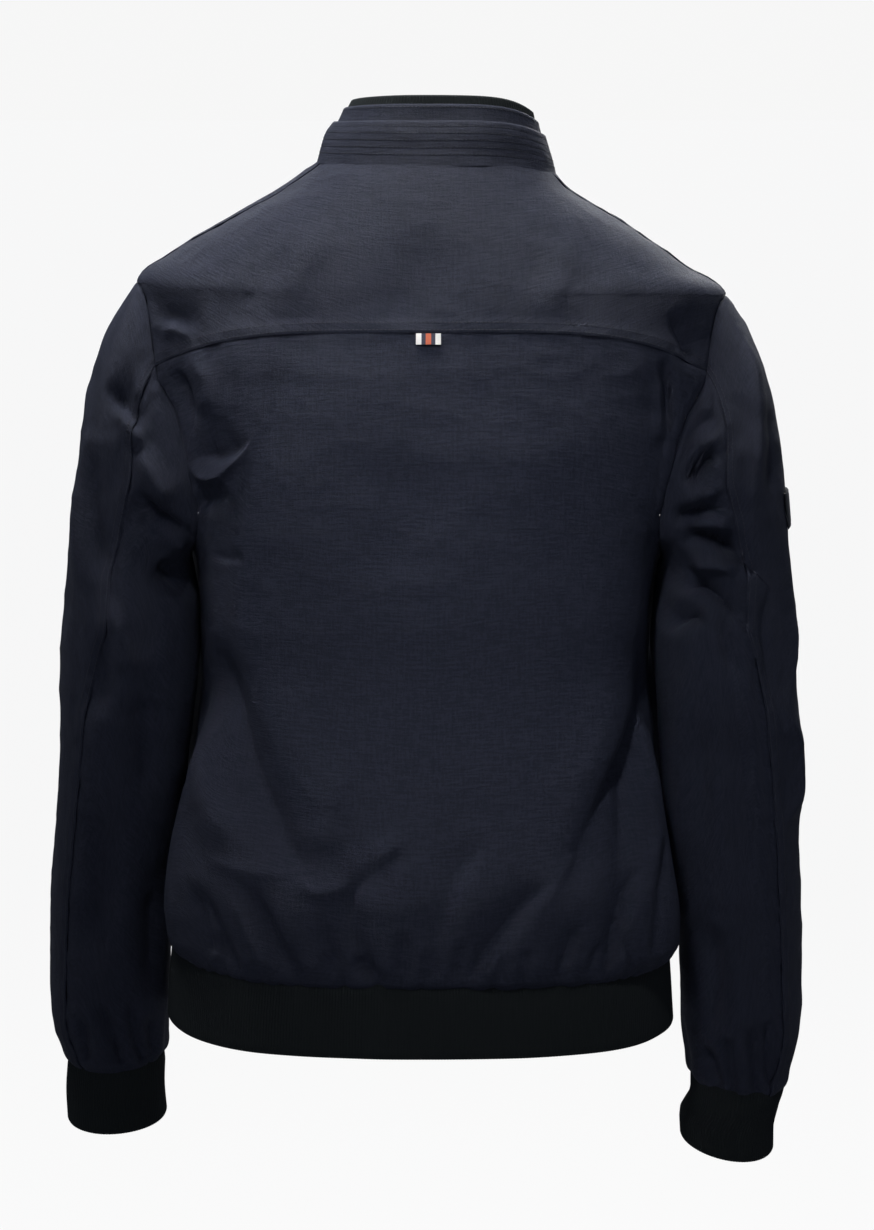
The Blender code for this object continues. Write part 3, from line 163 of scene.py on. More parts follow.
# Folds in millimetres, by the side that they face: three places on the way from start to end, each a place
# across that side and a height; then the width, the height (under 0 for a trough), the share that is left at
# the far end, how much steeper one flank is and how sharp the line is. The last two are 0 where left out.
foldColumns = "side1 high1 side2 high2 side3 high3 wide high opened skew crisp"
bodyFolds = {}
bodyFolds["back"] = (
    (213, -117, 194, -111, 179, -126, 7.5, -7.8, 0.2, 0.54, 0.7),
    (207, -128, 191, -121, 177, -132, 6, 4.6, 0, 0, 0.5),
    (198, -148, 184, -167, 182, -194, 7.5, -8.4, 0.2, -0.54, 0.8),
    (185, -137, 169, -161, 175, -187, 9, 5.2, 0, 0, 0.4),
    (182, -213, 157, -213, 134, -197, 10, -11.7, 0.1, 0.6, 0.6),
    (184, -219, 158, -229, 126, -186, 7.5, 7.8, 0.2, 0.54, 0.6),
    (181, -246, 165, -248, 148, -237, 10, -6.5, 0, 0, 0.3),
    (172, -289, 153, -292, 139, -288, 6, -3.3, 0, 0.54, 0.7),
    (-175, -107, -189, -127, -196, -148, 8, -7.8, 0.2, 0.54, 0.7),
    (-173, -135, -181, -167, -178, -203, 8, -11.7, 0.3, -0.6, 0.8),
    (-165, -139, -172, -173, -167, -209, 9, 5.2, 0, 0.54, 0.4),
    (-6, -41, 12, -85, 26, -123, 24, -3.1, 0),
    (98, -53, 134, -88, 168, -120, 18, -3.9, 0, 0, 0.2),
    (76, -34, 98, -69, 117, -110, 14, 3.3, 0),
    (-75, -105, -96, -75, -135, -97, 20, -2.9, 0, 0, 0.1),
    (-119, -53, -96, -78, -84, -115, 16, 3.3, 0),
    (-6, -206, 20, -258, 38, -319, 30, -3.9, 0),
    (98, -185, 111, -244, 106, -312, 30, 2.6, 0),
    (-95, -192, -111, -259, -96, -327, 30, -2.6, 0),
    (167, -347, 142, -430, 102, -515, 20, -16.3, 0.5, 0.27, 0.9),
    (175, -405, 169, -475, 128, -510, 15, 9.1, 0.2, 0, 0.3),
    (177, -513, 144, -524, 106, -524, 11, 3.9, 0.5, 0.36, 0.5),
    (105, -524, 82, -538, 60, -526, 10, 4.7, 0.5, 0.45, 0.6),
    (64, -530, 45, -517, 18, -495, 10, 4.7, 0.1, 0.54, 0.6),
    (99, -518, 79, -483, 63, -425, 16, 3.9, 0, 0, 0.2),
    (30, -513, 59, -541, 40, -610, 11, -8.4, 1, -0.54, 0.7),
    (-42, -495, -14, -538, -5, -599, 14, -5.9, 0.6, -0.54, 0.5),
    (-93, -526, -60, -559, -24, -612, 11, -9.7, 1, -0.54, 0.7),
    (-114, -561, -105, -583, -94, -611, 7, -7.2, 1, -0.54, 0.7),
    (-158, -521, -145, -557, -135, -597, 7, -9.7, 1, -0.54, 0.8),
    (-180, -372, -152, -430, -110, -509, 15, -13.7, 0.3, 0.6, 0.8),
    (-170, -408, -174, -478, -167, -554, 9, 5.9, 0.2, 0, 0.3),
    (-153, -423, -150, -475, -141, -532, 7, -6.5, 0.2, 0, 0.5),
    (-181, -496, -177, -537, -171, -590, 6, -5.2, 1, 0, 0.5),
    (178, -534, 164, -565, 148, -599, 5, -7.2, 1, -0.36, 0.8),
    (185, -528, 175, -564, 170, -587, 4.5, -5.9, 1, -0.36, 0.8),
    (139, -530, 123, -564, 99, -609, 6, -8.4, 1, -0.36, 0.8),
    (153, -535, 140, -569, 125, -601, 5.5, 3.9, 0.6, 0, 0.4),
    (85, -554, 72, -582, 64, -610, 5.5, -5.2, 1, -0.36, 0.8),
    (57, -585, 48, -596, 37, -612, 5, -6.5, 1, -0.36, 0.8),
    (21, -563, 21, -589, 22, -613, 5, -5.9, 1, 0, 0.8),
    (-57, -578, -51, -599, -45, -615, 4.5, -5.2, 1, 0, 0.8),
    (166, -571, 160, -588, 156, -603, 4, -4.6, 1, -0.36, 0.8),
    (109, -574, 105, -591, 101, -611, 4, -3.9, 1, 0.36, 0.8),
    (76, -580, 78, -596, 80, -612, 3.5, -3.9, 1, 0, 0.8),
    (6, -580, 1, -596, -2, -612, 4, -4.2, 1, 0.36, 0.8),
    (-26, -571, -21, -592, -15, -614, 4.5, -4.7, 1, -0.36, 0.8),
    (-75, -577, -71, -593, -67, -611, 4, -4.2, 1, 0, 0.8),
    (-145, -571, -150, -588, -159, -609, 4, -4.4, 1, 0.36, 0.8),
    (-130, -576, -122, -594, -114, -610, 4, -3.9, 1, 0, 0.8),
    (-196, -363, -178, -435, -159, -527, 28, -9.7, 0.3),
    (-155, -360, -127, -427, -93, -504, 22, 5.9, 0.2),
    (140, -353, 116, -428, 82, -499, 24, 4.6, 0.2),
)
bodyFolds["front"] = (
    (190, -150, 165, -185, 155, -230, 12, -6, 0),
    (-188, -145, -168, -190, -150, -225, 12, -6, 0),
    (172, -255, 140, -240, 105, -200, 11, -5, 0),
    (-168, -262, -130, -250, -98, -215, 11, -5, 0),
    (156, -380, 160, -450, 150, -520, 16, -5, 0),
    (-150, -370, -152, -440, -146, -510, 16, -5, 0),
    (85, -410, 60, -480, 50, -560, 18, -5, 0),
    (-78, -430, -62, -490, -40, -550, 18, -5, 0),
    (165, -500, 150, -560, 147, -612, 9, -5, 1),
    (120, -540, 110, -580, 104, -612, 8, -5, 1),
    (70, -530, 76, -580, 69, -612, 8, -5, 1),
    (35, -555, 30, -590, 33, -612, 7, -4, 1),
    (-30, -545, -36, -585, -32, -612, 7, -4, 1),
    (-66, -520, -60, -570, -67, -612, 8, -5, 1),
    (-112, -545, -100, -580, -98, -612, 8, -5, 1),
    (-155, -510, -140, -565, -138, -612, 9, -5, 1),
)
bodyFolds["left"] = (
    (50, -360, 35, -440, 45, -530, 16, -4, 0),
    (-45, -350, -30, -440, -40, -540, 16, -4, 0),
    (30, -540, 36, -580, 30, -603, 9, -4, 1),
    (-25, -530, -30, -575, -22, -603, 9, -4, 1),
    (-75, -550, -70, -580, -76, -606, 9, -4, 1),
)
bodyFolds["right"] = (
    (55, -350, 40, -430, 48, -520, 16, -4, 0),
    (-40, -360, -50, -450, -35, -540, 16, -4, 0),
    (36, -545, 30, -585, 34, -611, 9, -4, 1),
    (-18, -535, -24, -580, -16, -611, 9, -4, 1),
    (-70, -550, -78, -585, -70, -611, 9, -4, 1),
)

leftFolds = {}
leftFolds["back"] = (
    (250, -164, 233, -179, 216, -201, 7, -12.3, 0.2, 0.54, 0.8),
    (238, -173, 225, -192, 222, -213, 8, 6.6, 0, 0, 0.4),
    (201, -187, 187, -205, 196, -220, 7, -10.4, 0.2, 0.54, 0.7),
    (222, -207, 207, -235, 196, -255, 8.5, 8.5, 0.2, 0, 0.5),
    (224, -239, 206, -261, 185, -274, 9, -16.2, 0.3, -0.54, 0.8),
    (214, -272, 197, -281, 185, -292, 8, 5.7, 0, 0, 0.4),
    (205, -295, 195, -308, 183, -315, 7, -11.4, 0.3, -0.36, 0.8),
    (256, -207, 259, -266, 243, -319, 9, -10.4, 0.1, 0.36, 0.6),
    (268, -194, 269, -267, 266, -358, 9, 5.7, 0, 0, 0.3),
    (243, -319, 236, -357, 223, -396, 8, 6.6, 0, 0, 0.5),
    (249, -342, 255, -389, 251, -420, 10, -7.6, 0, 0, 0.4),
    (229, -388, 216, -437, 225, -501, 14, -8.5, 0),
    (264, -485, 254, -541, 271, -629, 14, -7.6, 0),
    (219, -535, 215, -595, 225, -651, 12, -7.6, 0, 0, 0.3),
    (263, -649, 253, -674, 246, -701, 6, -8.5, 1, 0, 0.7),
    (237, -642, 233, -676, 228, -700, 5, -7.6, 1, 0, 0.7),
    (221, -661, 219, -683, 218, -699, 4.5, -6.6, 1, 0, 0.7),
    (277, -658, 274, -681, 274, -697, 4.5, -5.7, 1, 0, 0.7),
)
leftFolds["front"] = (
    (222, -130, 214, -200, 222, -270, 12, -5, 0),
    (212, -345, 230, -370, 252, -365, 12, -6, 0),
    (208, -395, 232, -405, 262, -390, 12, -5, 0),
    (215, -470, 240, -500, 262, -560, 14, -4, 0),
    (242, -650, 247, -675, 243, -697, 7, -3, 1),
    (264, -645, 260, -672, 264, -697, 7, -3, 1),
)
leftFolds["left"] = (
    (20, -200, 0, -280, 10, -360, 16, -3, 0),
    (-30, -380, -10, -450, -30, -540, 16, -4, 0),
    (-40, -650, -36, -675, -41, -705, 8, -3, 1),
)
leftFolds["right"] = (
    (10, -350, -10, -430, -5, -520, 14, -3, 0),
    (-30, -650, -36, -675, -36, -703, 8, -3, 1),
)

rightFolds = {}
rightFolds["back"] = (
    (-183, -204, -198, -192, -216, -183, 6.5, -10.4, 0.2, 0.36, 0.7),
    (-186, -217, -203, -208, -216, -204, 6, 6.6, 0, 0, 0.4),
    (-184, -235, -204, -222, -221, -213, 7, -12.3, 0.2, 0.36, 0.8),
    (-183, -253, -203, -246, -223, -240, 6, 6.6, 0, 0, 0.4),
    (-182, -269, -199, -260, -226, -258, 6.5, -11.4, 0.2, 0.36, 0.8),
    (-189, -287, -213, -280, -245, -304, 7.5, -16.2, 0.4, 0.54, 0.8),
    (-191, -271, -211, -269, -232, -274, 7, 9.5, 0.1, 0, 0.5),
    (-187, -325, -207, -319, -240, -347, 8, -15.2, 0.4, 0.54, 0.8),
    (-193, -306, -213, -300, -233, -309, 7, 8.5, 0.1, 0, 0.5),
    (-177, -356, -193, -343, -210, -348, 9, -13.3, 0.2, 0.54, 0.7),
    (-234, -114, -244, -189, -240, -280, 9, 8.5, 0.1, 0.54, 0.7),
    (-255, -138, -260, -207, -256, -266, 9, -6.6, 0, 0, 0.4),
    (-271, -254, -277, -337, -272, -420, 8, 8.5, 0.1, 0.6, 0.7),
    (-263, -397, -282, -461, -271, -510, 8, 8.5, 0.1, 0.6, 0.7),
    (-261, -309, -257, -358, -264, -421, 8, -7.6, 0, 0, 0.5),
    (-227, -311, -223, -357, -237, -396, 9, -7.6, 0, 0.36, 0.5),
    (-213, -390, -205, -470, -213, -534, 14, -7.6, 0),
    (-238, -403, -234, -483, -246, -567, 12, -5.7, 0),
    (-210, -569, -220, -634, -214, -696, 11, -6.6, 0, 0, 0.3),
    (-213, -685, -219, -707, -225, -722, 5, -8.5, 1, 0, 0.7),
    (-230, -675, -234, -700, -237, -724, 5, -8.5, 1, 0, 0.7),
    (-250, -665, -254, -696, -258, -725, 5.5, -8.5, 1, 0, 0.7),
    (-266, -658, -265, -691, -270, -723, 4.5, -6.6, 1, 0, 0.7),
)
rightFolds["front"] = (
    (-218, -132, -210, -195, -216, -260, 12, -5, 0),
    (-200, -350, -224, -372, -250, -360, 12, -6, 0),
    (-200, -400, -228, -412, -256, -402, 12, -5, 0),
    (-205, -480, -232, -515, -255, -580, 14, -4, 0),
    (-234, -670, -238, -695, -236, -718, 7, -3, 1),
    (-256, -668, -252, -692, -255, -718, 7, -3, 1),
)
rightFolds["right"] = (
    (15, -280, -5, -350, 10, -430, 16, -3, 0),
    (-30, -420, -12, -490, -35, -570, 16, -4, 0),
    (-40, -670, -37, -700, -41, -728, 8, -3, 1),
)
rightFolds["left"] = (
    (10, -350, -8, -430, -5, -520, 14, -3, 0),
    (-30, -668, -36, -695, -38, -720, 8, -3, 1),
)

sleeveFolds = {wearerLeft: leftFolds, wearerRight: rightFolds}
facings = {"back": (0, (0, 1, 0)), "front": (0, (0, -1, 0)), "left": (1, (1, 0, 0)), "right": (1, (-1, 0, 0))}
foldLook = {"points": 11, "reach": 3, "fade": 0.35, "facing": (0.10, 0.55)}


# The shape of the worn jacket


def hermite(t, first, leave, last, arrive):
    return (
        (1 + 2 * t) * (1 - t) ** 2 * first
        + t * (1 - t) ** 2 * leave
        + t**2 * (3 - 2 * t) * last
        + t**2 * (t - 1) * arrive
    )


def smooth(xs, ys, at):  # the monotone cubic through the points
    step = np.diff(xs)
    slope = np.diff(ys) / step
    agree = slope[:-1] * slope[1:] > 0
    total = np.where(agree, slope[:-1] + slope[1:], 1)
    tangent = np.concatenate(([slope[0]], np.where(agree, 2 * slope[:-1] * slope[1:] / total, 0), [slope[-1]]))
    index = np.clip(np.searchsorted(xs, at) - 1, 0, len(step) - 1)
    width = step[index]
    t = (at - xs[index]) / width
    return hermite(t, ys[index], width * tangent[index], ys[index + 1], width * tangent[index + 1])


def section(rows, key, at):
    return {name: smooth(rows[key], rows[name], at) for name in rows}


def ramp(low, high, value):
    t = np.clip((value - low) / (high - low), 0, 1)
    return t * t * (3 - 2 * t)


def bell(away, wide):
    return np.exp(-((away / wide) ** 2))


def unit(vectors):
    return vectors / np.maximum(np.linalg.norm(vectors, axis=-1, keepdims=True), 1e-12)


def ring(rows, down, turn):  # turn is 0 at the centre back and pi / 2 at the wearer's left
    part = section(rows, "down", down)
    sine, cosine, square = np.sin(turn), np.cos(turn), part["square"]
    wide = np.where(sine > 0, part["wideLeft"], part["wideRight"])
    x = wide * (sine + square * np.sin(3 * turn)) / (1 - square)
    middle = (part["deepBack"] + part["deepFront"]) / 2
    half = (part["deepBack"] - part["deepFront"]) / 2
    y = middle + half * (cosine - square * np.cos(3 * turn)) / (1 - square)
    end = np.where(cosine > 0, part["back"], part["front"])
    side = np.where(sine > 0, part["left"], part["right"])
    z = end + (side - end) * np.abs(sine) ** 4
    for name, place in (("lobeBack", lobeTurn), ("lobeFront", math.pi - lobeTurn)):
        if name in part:
            x = x + np.sign(sine) * part[name] * bell(np.abs(turn) - place, lobeSpread)
    return np.stack([x, y, z], axis=-1)


def normalsOf(surface, u, v, sign=1):
    step = 0.0005
    down = surface(u + step, v) - surface(u - step, v)
    across = surface(u, v + step) - surface(u, v - step)
    return sign * unit(np.cross(across, down))


def foldPath(fold):  # points of a curve from the fold's first place through its second to its third
    t = np.linspace(0, 1, foldLook["points"])[:, None]
    start, middle, end = (np.array([fold[f"side{i}"], fold[f"high{i}"]]) / 1000 for i in (1, 2, 3))
    return (1 - t) ** 2 * start + 2 * t * (1 - t) * (2 * middle - (start + end) / 2) + t**2 * end


def besidePath(spots, path):  # how far each spot is from the path, its share of the way, and on which side
    nearest, share, side = np.full(len(spots), np.inf), np.zeros(len(spots)), np.zeros(len(spots))
    for i, (a, b) in enumerate(zip(path, path[1:])):
        along = np.clip(((spots - a) @ (b - a)) / ((b - a) @ (b - a)), 0, 1)
        off = spots - a - along[:, None] * (b - a)
        away = np.hypot(off[:, 0], off[:, 1])
        closer = away < nearest
        share = np.where(closer, (i + along) / (len(path) - 1), share)
        side = np.where(closer, np.sign((b - a)[0] * off[:, 1] - (b - a)[1] * off[:, 0]), side)
        nearest = np.minimum(away, nearest)
    return nearest, share, side


def foldHeight(points, outward, folds):
    height = np.zeros(points.shape[:-1])
    for facing, rows in folds.items():
        axis, toward = facings[facing]
        flat, faced = points[..., [axis, 2]], outward @ np.array(toward, float)
        for row in rows:
            fold = dict(zip(foldColumns.split(), row))
            wide, crisp = fold["wide"] / 1000, fold.get("crisp", 0)
            path = foldPath(fold)
            reach = (foldLook["reach"] + 2 * crisp) * wide
            low, high = path.min(0) - reach, path.max(0) + reach
            near = ((flat > low) & (flat < high)).all(-1) & (faced > foldLook["facing"][0])
            if not near.any():
                continue
            away, share, side = besidePath(flat[near], path)
            started, left = ramp(0, foldLook["fade"], share), ramp(0, foldLook["fade"], 1 - share)
            fall = fold["opened"] + (1 - fold["opened"]) * left
            shape = np.exp(-((away / (wide * (1 - fold.get("skew", 0) * side))) ** (2 - crisp)))
            height[near] += ramp(*foldLook["facing"], faced[near]) * fold["high"] / 1000 * started * fall * shape
    return height


def bodyPlain(down, turn):
    return ring(bodyRings, down, turn)


hemCalm = {"by": 0.7, "from": 0.018, "to": 0.003, "level": 0.06}


def body(down, turn):  # near the hem band a fold is lower and moves level, so that the seam stays closed
    plain = bodyPlain(down, turn)
    outward = normalsOf(bodyPlain, down, turn)
    calm = hemCalm["by"] * ramp(hem - hemCalm["from"], hem - hemCalm["to"], down)
    height = foldHeight(plain, outward, bodyFolds) * (1 - calm)
    outward[..., 2] *= 1 - ramp(hem - hemCalm["level"], hem, down)
    return plain + outward * height[..., None]


def collar(down, turn):
    return ring(collarRings, down, turn)


def armhole(clock):  # drop and turn of its edge; the clock is 0 at the shoulder and pi / 2 at the back
    cosine, sine = np.cos(clock), np.sin(clock)
    power = 2 / armholeSquare
    middle, half = (shoulder + underarm) / 2, (underarm - shoulder) / 2
    down = middle - half * np.sign(cosine) * np.abs(cosine) ** power
    return down, math.pi / 2 - np.sign(sine) * armholeSpread * np.abs(sine) ** power


def clockAt(down):
    middle, half = (shoulder + underarm) / 2, (underarm - shoulder) / 2
    share = np.clip((middle - down) / half, -1, 1)
    return np.arccos(np.sign(share) * np.abs(share) ** (armholeSquare / 2))


def panelEdge(side, branch, down):  # shoulder seam, armhole, side seam; branch is 1 on the back
    slope = neckTurn + (math.pi / 2 - neckTurn) * down / shoulder
    opened = armhole(branch * clockAt(down))[1]
    return side * np.where(down < shoulder, slope, np.where(down < underarm, opened, math.pi / 2))


def zipEdge(side, down):
    part = section(bodyRings, "down", down)
    wide = part["wideLeft"] if side == wearerLeft else part["wideRight"]
    return side * (math.pi - zipHalf * (1 - part["square"]) / (wide * (1 + 3 * part["square"])))


def tube(side, below, clock):  # the clock is 0 at the outer side and pi / 2 at the back
    part = section(sleeveRings[side], "below", below)
    square = part["square"]
    out = part["wide"] * (np.cos(clock) - square * np.cos(3 * clock)) / (1 - square)
    back = part["deep"] * (np.sin(clock) + square * np.sin(3 * clock)) / (1 - square)
    z = -below - part["lean"] * out - part["pitch"] * back
    return np.stack([part["x"] + side * out, part["y"] + back, z], axis=-1)


holeClocks = np.linspace(0, 2 * math.pi, 1440, endpoint=False)
holeEdges = {}
for side in words:
    holeDown, holeTurn = armhole(holeClocks)
    holeEdges[side] = body(holeDown, side * holeTurn)


def sleevePlain(side, along, clock):  # 0 at the armhole, 1 at the biceps, then down to the cuff
    along, clock = np.broadcast_arrays(along, clock)
    start = np.stack(
        [np.interp(clock, holeClocks, holeEdges[side][:, i], period=2 * math.pi) for i in range(3)], axis=-1
    )
    below = np.full(clock.shape, biceps)
    end = tube(side, below, clock)
    reach = np.linalg.norm(end - start, axis=-1, keepdims=True)
    way = section(capLeaves, "clock", np.mod(np.degrees(clock) + 90, 360) - 90)
    leave = unit(np.stack([side * way["out"], way["back"], -way["down"]], axis=-1)) * reach
    arrive = unit(tube(side, below + 0.01, clock) - end) * reach
    cap = hermite(np.minimum(along, 1)[..., None], start, leave, end, arrive)
    lower = tube(side, biceps + capDrop * np.maximum(along - 1, 0), clock)
    return np.where(along[..., None] < 1, cap, lower)


def sleeveLevel(side, along, points):  # height of the sleeve's ring plane
    below = biceps + capDrop * (along - 1)
    part = section(sleeveRings[side], "below", below)
    out = side * (points[..., 0] - part["x"])
    return -below - part["lean"] * out - part["pitch"] * (points[..., 1] - part["y"])


sleeveCalm = {"armhole": 0.2, "cuff": 0.03}


def sleeve(side, along, clock):  # folds start below the armhole's seam, and move level above the cuff
    plain = sleevePlain(side, along, clock)
    outward = normalsOf(lambda u, v: sleevePlain(side, u, v), along, clock, -side)
    height = foldHeight(plain, outward, sleeveFolds[side]) * ramp(0, sleeveCalm["armhole"], along)
    moved = plain + outward * height[..., None]
    hold = ramp(cuffTop[side] - sleeveCalm["cuff"], cuffTop[side], biceps + capDrop * (along - 1))
    level = sleeveLevel(side, along, moved)
    moved[..., 2] += hold * (level - moved[..., 2]) * (plain[..., 2] < -biceps)
    return moved


def alongOf(below):
    return 1 + (below - biceps) / capDrop


yokeClock = float(clockAt(np.array([yoke]))[0])
frontSeam = math.radians(-60)


def seamClock(side, along):
    places = np.concatenate(([0], backSeams[side]["along"]))
    clocks = np.concatenate(([yokeClock], np.radians(backSeams[side]["clock"])))
    return smooth(places, clocks, along)


# Laying out a piece of cloth


def steps(length, pitch, near=0.0008, band=0.008, growth=0.3):
    # distances from 0 to length, close together at both ends, always an odd number of them
    at = [0.0]
    while at[-1] < length:
        room = min(at[-1], length - at[-1])
        at.append(at[-1] + coarse * (near if room < band else min(pitch, near + (room - band) * growth)))
    if len(at) % 2 == 0:
        at.insert(-1, (at[-1] + at[-2]) / 2)
    return np.array(at) * length / at[-1]


def odd(length, pitch):
    return np.linspace(0, 1, 2 * max(1, round(length / pitch / 2 / coarse)) + 1)


def gridNormals(points, sign, wrap=False):
    down = np.gradient(points, axis=0)
    across = np.gradient(points, axis=1)
    if wrap:
        across = (np.roll(points, -1, axis=1) - np.roll(points, 1, axis=1)) / 2
    return sign * unit(np.cross(across, down))


def lengths(points, axis=0):  # how far each point is along its line, column or row
    step = np.linalg.norm(np.diff(points, axis=axis), axis=-1)
    pad = [(1, 0) if axis == i else (0, 0) for i in range(step.ndim)]
    return np.cumsum(np.pad(step, pad), axis=axis)


def readAt(places, run, values):  # the values of a line at some places along it
    return np.stack([np.interp(places, run, values[:, i]) for i in range(3)], -1)


def awayFrom(points, line):  # distance from each point of a grid to a line of points
    found = np.empty(points.shape[:2])
    for row in range(len(points)):
        found[row] = np.linalg.norm(points[row][:, None] - line[None], axis=-1).min(1)
    return found


def uneven(points, size, seed):  # smooth noise from -1 to 1 in three dimensions
    grid = np.random.default_rng(seed).uniform(-1, 1, (32, 32, 32))
    at = points / size + 1000
    cell = np.floor(at).astype(int)
    t = at - cell
    t = t * t * (3 - 2 * t)
    value = 0
    for corner in np.ndindex(2, 2, 2):
        weight = np.prod(np.where(corner, t, 1 - t), axis=-1)
        i, j, k = np.moveaxis((cell + corner) % 32, -1, 0)
        value = value + weight * grid[i, j, k]
    return value


def meshFrom(name, points, faces, layout=None):
    mesh = bpy.data.meshes.new(name)
    sizes = np.array([len(f) for f in faces], np.int32)
    mesh.vertices.add(len(points))
    mesh.vertices.foreach_set("co", np.asarray(points, np.float32).ravel())
    mesh.loops.add(int(sizes.sum()))
    corners = np.concatenate([np.asarray(f, np.int32).ravel() for f in faces])
    mesh.loops.foreach_set("vertex_index", corners)
    mesh.polygons.add(len(sizes))
    mesh.polygons.foreach_set("loop_start", np.concatenate(([0], np.cumsum(sizes)[:-1])).astype(np.int32))
    mesh.update(calc_edges=True)
    if layout is not None:
        uv = mesh.uv_layers.new(name="cloth")
        uv.data.foreach_set("uv", layout[corners].astype(np.float32).ravel())
    mesh.validate()
    return mesh


def addPiece(name, mesh, material, replaced=(), bodyName="jacket", sharp=None):
    mesh.shade_smooth()
    if sharp:
        mesh.set_sharp_from_angle(angle=math.radians(sharp))
    mesh.materials.append(material)
    piece = bpy.data.objects.new(name, mesh)
    scene.collection.objects.link(piece)
    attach(piece, bodyName)
    if replaced:
        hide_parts(*replaced)
    return piece


def shellMesh(name, outer, inner, layout, wrap=False):
    # a closed wall; the inner side has every second point of the outer one
    rows, columns = outer.shape[:2]
    number = np.arange(rows * columns).reshape(rows, columns)
    inside = inner[::2, ::2]
    innerNumber = rows * columns + np.arange(inside.shape[0] * inside.shape[1]).reshape(inside.shape[:2])
    if wrap:
        number = np.column_stack((number, number[:, 0]))
        innerNumber = np.column_stack((innerNumber, innerNumber[:, 0]))
    quads = lambda n: np.stack([n[:-1, :-1], n[:-1, 1:], n[1:, 1:], n[1:, :-1]], -1).reshape(-1, 4)
    faces = list(quads(number)) + list(quads(innerNumber)[:, ::-1])
    edges = [(number[0], innerNumber[0], -1), (number[-1], innerNumber[-1], 1)]
    if not wrap:
        edges += [(number[:, 0], innerNumber[:, 0], 1), (number[:, -1], innerNumber[:, -1], -1)]
    for out, back, way in edges:
        for i in range(len(back) - 1):
            face = [back[i], back[i + 1], out[2 * i + 2], out[2 * i + 1], out[2 * i]]
            faces.append(np.array(face[::-way]))
    points = np.concatenate([outer.reshape(-1, 3), inside.reshape(-1, 3)])
    both = np.concatenate([layout.reshape(-1, 2), layout[::2, ::2].reshape(-1, 2)])
    mesh = meshFrom(name, points, faces, both)
    shape = bmesh.new()
    shape.from_mesh(mesh)
    if shape.calc_volume(signed=True) < 0:
        bmesh.ops.reverse_faces(shape, faces=shape.faces[:])
        shape.to_mesh(mesh)
    shape.free()
    return mesh


def layoutOf(points):  # the cloth's own coordinates in metres, level with its middle column
    across, down = lengths(points, 1), lengths(points)
    middle = points.shape[1] // 2
    return np.stack([across - across[:, middle : middle + 1], down], axis=-1)


madeSheets = []


def clothPiece(name, points, sign, material, replaced, cloth, lift=0, wrap=False):
    outward = gridNormals(points, sign, wrap)
    outer = points + outward * np.asarray(lift + np.zeros(points.shape[:2]))[..., None]
    outward = gridNormals(outer, sign, wrap)
    inner = outer - cloth["thick"] * outward
    mesh = shellMesh(name, outer, inner, layoutOf(points), wrap)
    madeSheets.append((addPiece(name, mesh, material, replaced, sharp=60), cloth))
    return outer, outward


def inset(points, outward, edge, distance):
    # the line on a piece that runs at a distance inside one of its edges, with its normals
    if edge in ("start", "end"):
        points, outward = points.transpose(1, 0, 2), outward.transpose(1, 0, 2)
    if edge in ("bottom", "end"):
        points, outward = points[::-1], outward[::-1]
    run, columns = lengths(points), range(points.shape[1])
    line, way = (
        np.array([readAt(distance, run[:, i], values[:, i]) for i in columns]) for values in (points, outward)
    )
    return line, unit(way)


stitches = {}  # the lines of each seam's stitches, by the name of their piece
stitchLook = {
    "pitch": 0.0030, "long": 0.0023, "wide": 0.00042, "high": 0.55, "corners": (0, 60, 120, 180, 270),
    "ends": ((-0.5, 0, -0.5), (0.5, 0, -0.5)),  # share of the length, thickness and height
    "rings": ((-0.42, 0.8, 0.2), (0, 1, 0.75), (0.42, 0.8, 0.2)),
}


def stitchLine(name, line, outward, look=stitchLook):
    run = lengths(line)
    count = int(run[-1] / look["pitch"])
    if count < 1:
        return
    at = (np.arange(count) + 0.5) * run[-1] / count
    middle, out = readAt(at, run, line), unit(readAt(at, run, outward))
    along = unit(readAt(at + 0.0006, run, line) - readAt(at - 0.0006, run, line))
    beside = unit(np.cross(along, out))
    first, last = look["ends"]
    points = []
    for place, thick, high in (first, *look["rings"], last):
        base = middle + along * (place * look["long"]) + out * (high * look["wide"] * look["high"])
        turns = np.radians(look["corners"]) if thick else []
        half = look["wide"] * 0.5 * thick
        points += [base + half * (math.cos(a) * beside + math.sin(a) * out) for a in turns] or [base]
    stitches.setdefault(name, []).append(np.stack(points, 1).reshape(-1, 3))


def makeStitches(name, material):
    points = np.concatenate(stitches[name])
    corners = len(stitchLook["corners"])
    last = 1 + corners * len(stitchLook["rings"])
    one = []
    for i in range(corners):
        n = (i + 1) % corners
        one += [(0, 1 + i, 1 + n), (last, last - corners + n, last - corners + i)]
        for level in range(1, last - corners, corners):
            one += [
                (level + i, level + corners + i, level + corners + n), (level + i, level + corners + n, level + n)
            ]
    starts = np.arange(0, len(points), last + 1)[:, None, None]
    faces = (np.array(one)[None] + starts).reshape(-1, 3)
    addPiece(name, meshFrom(name, points, list(faces[:, ::-1])), material)


# Materials


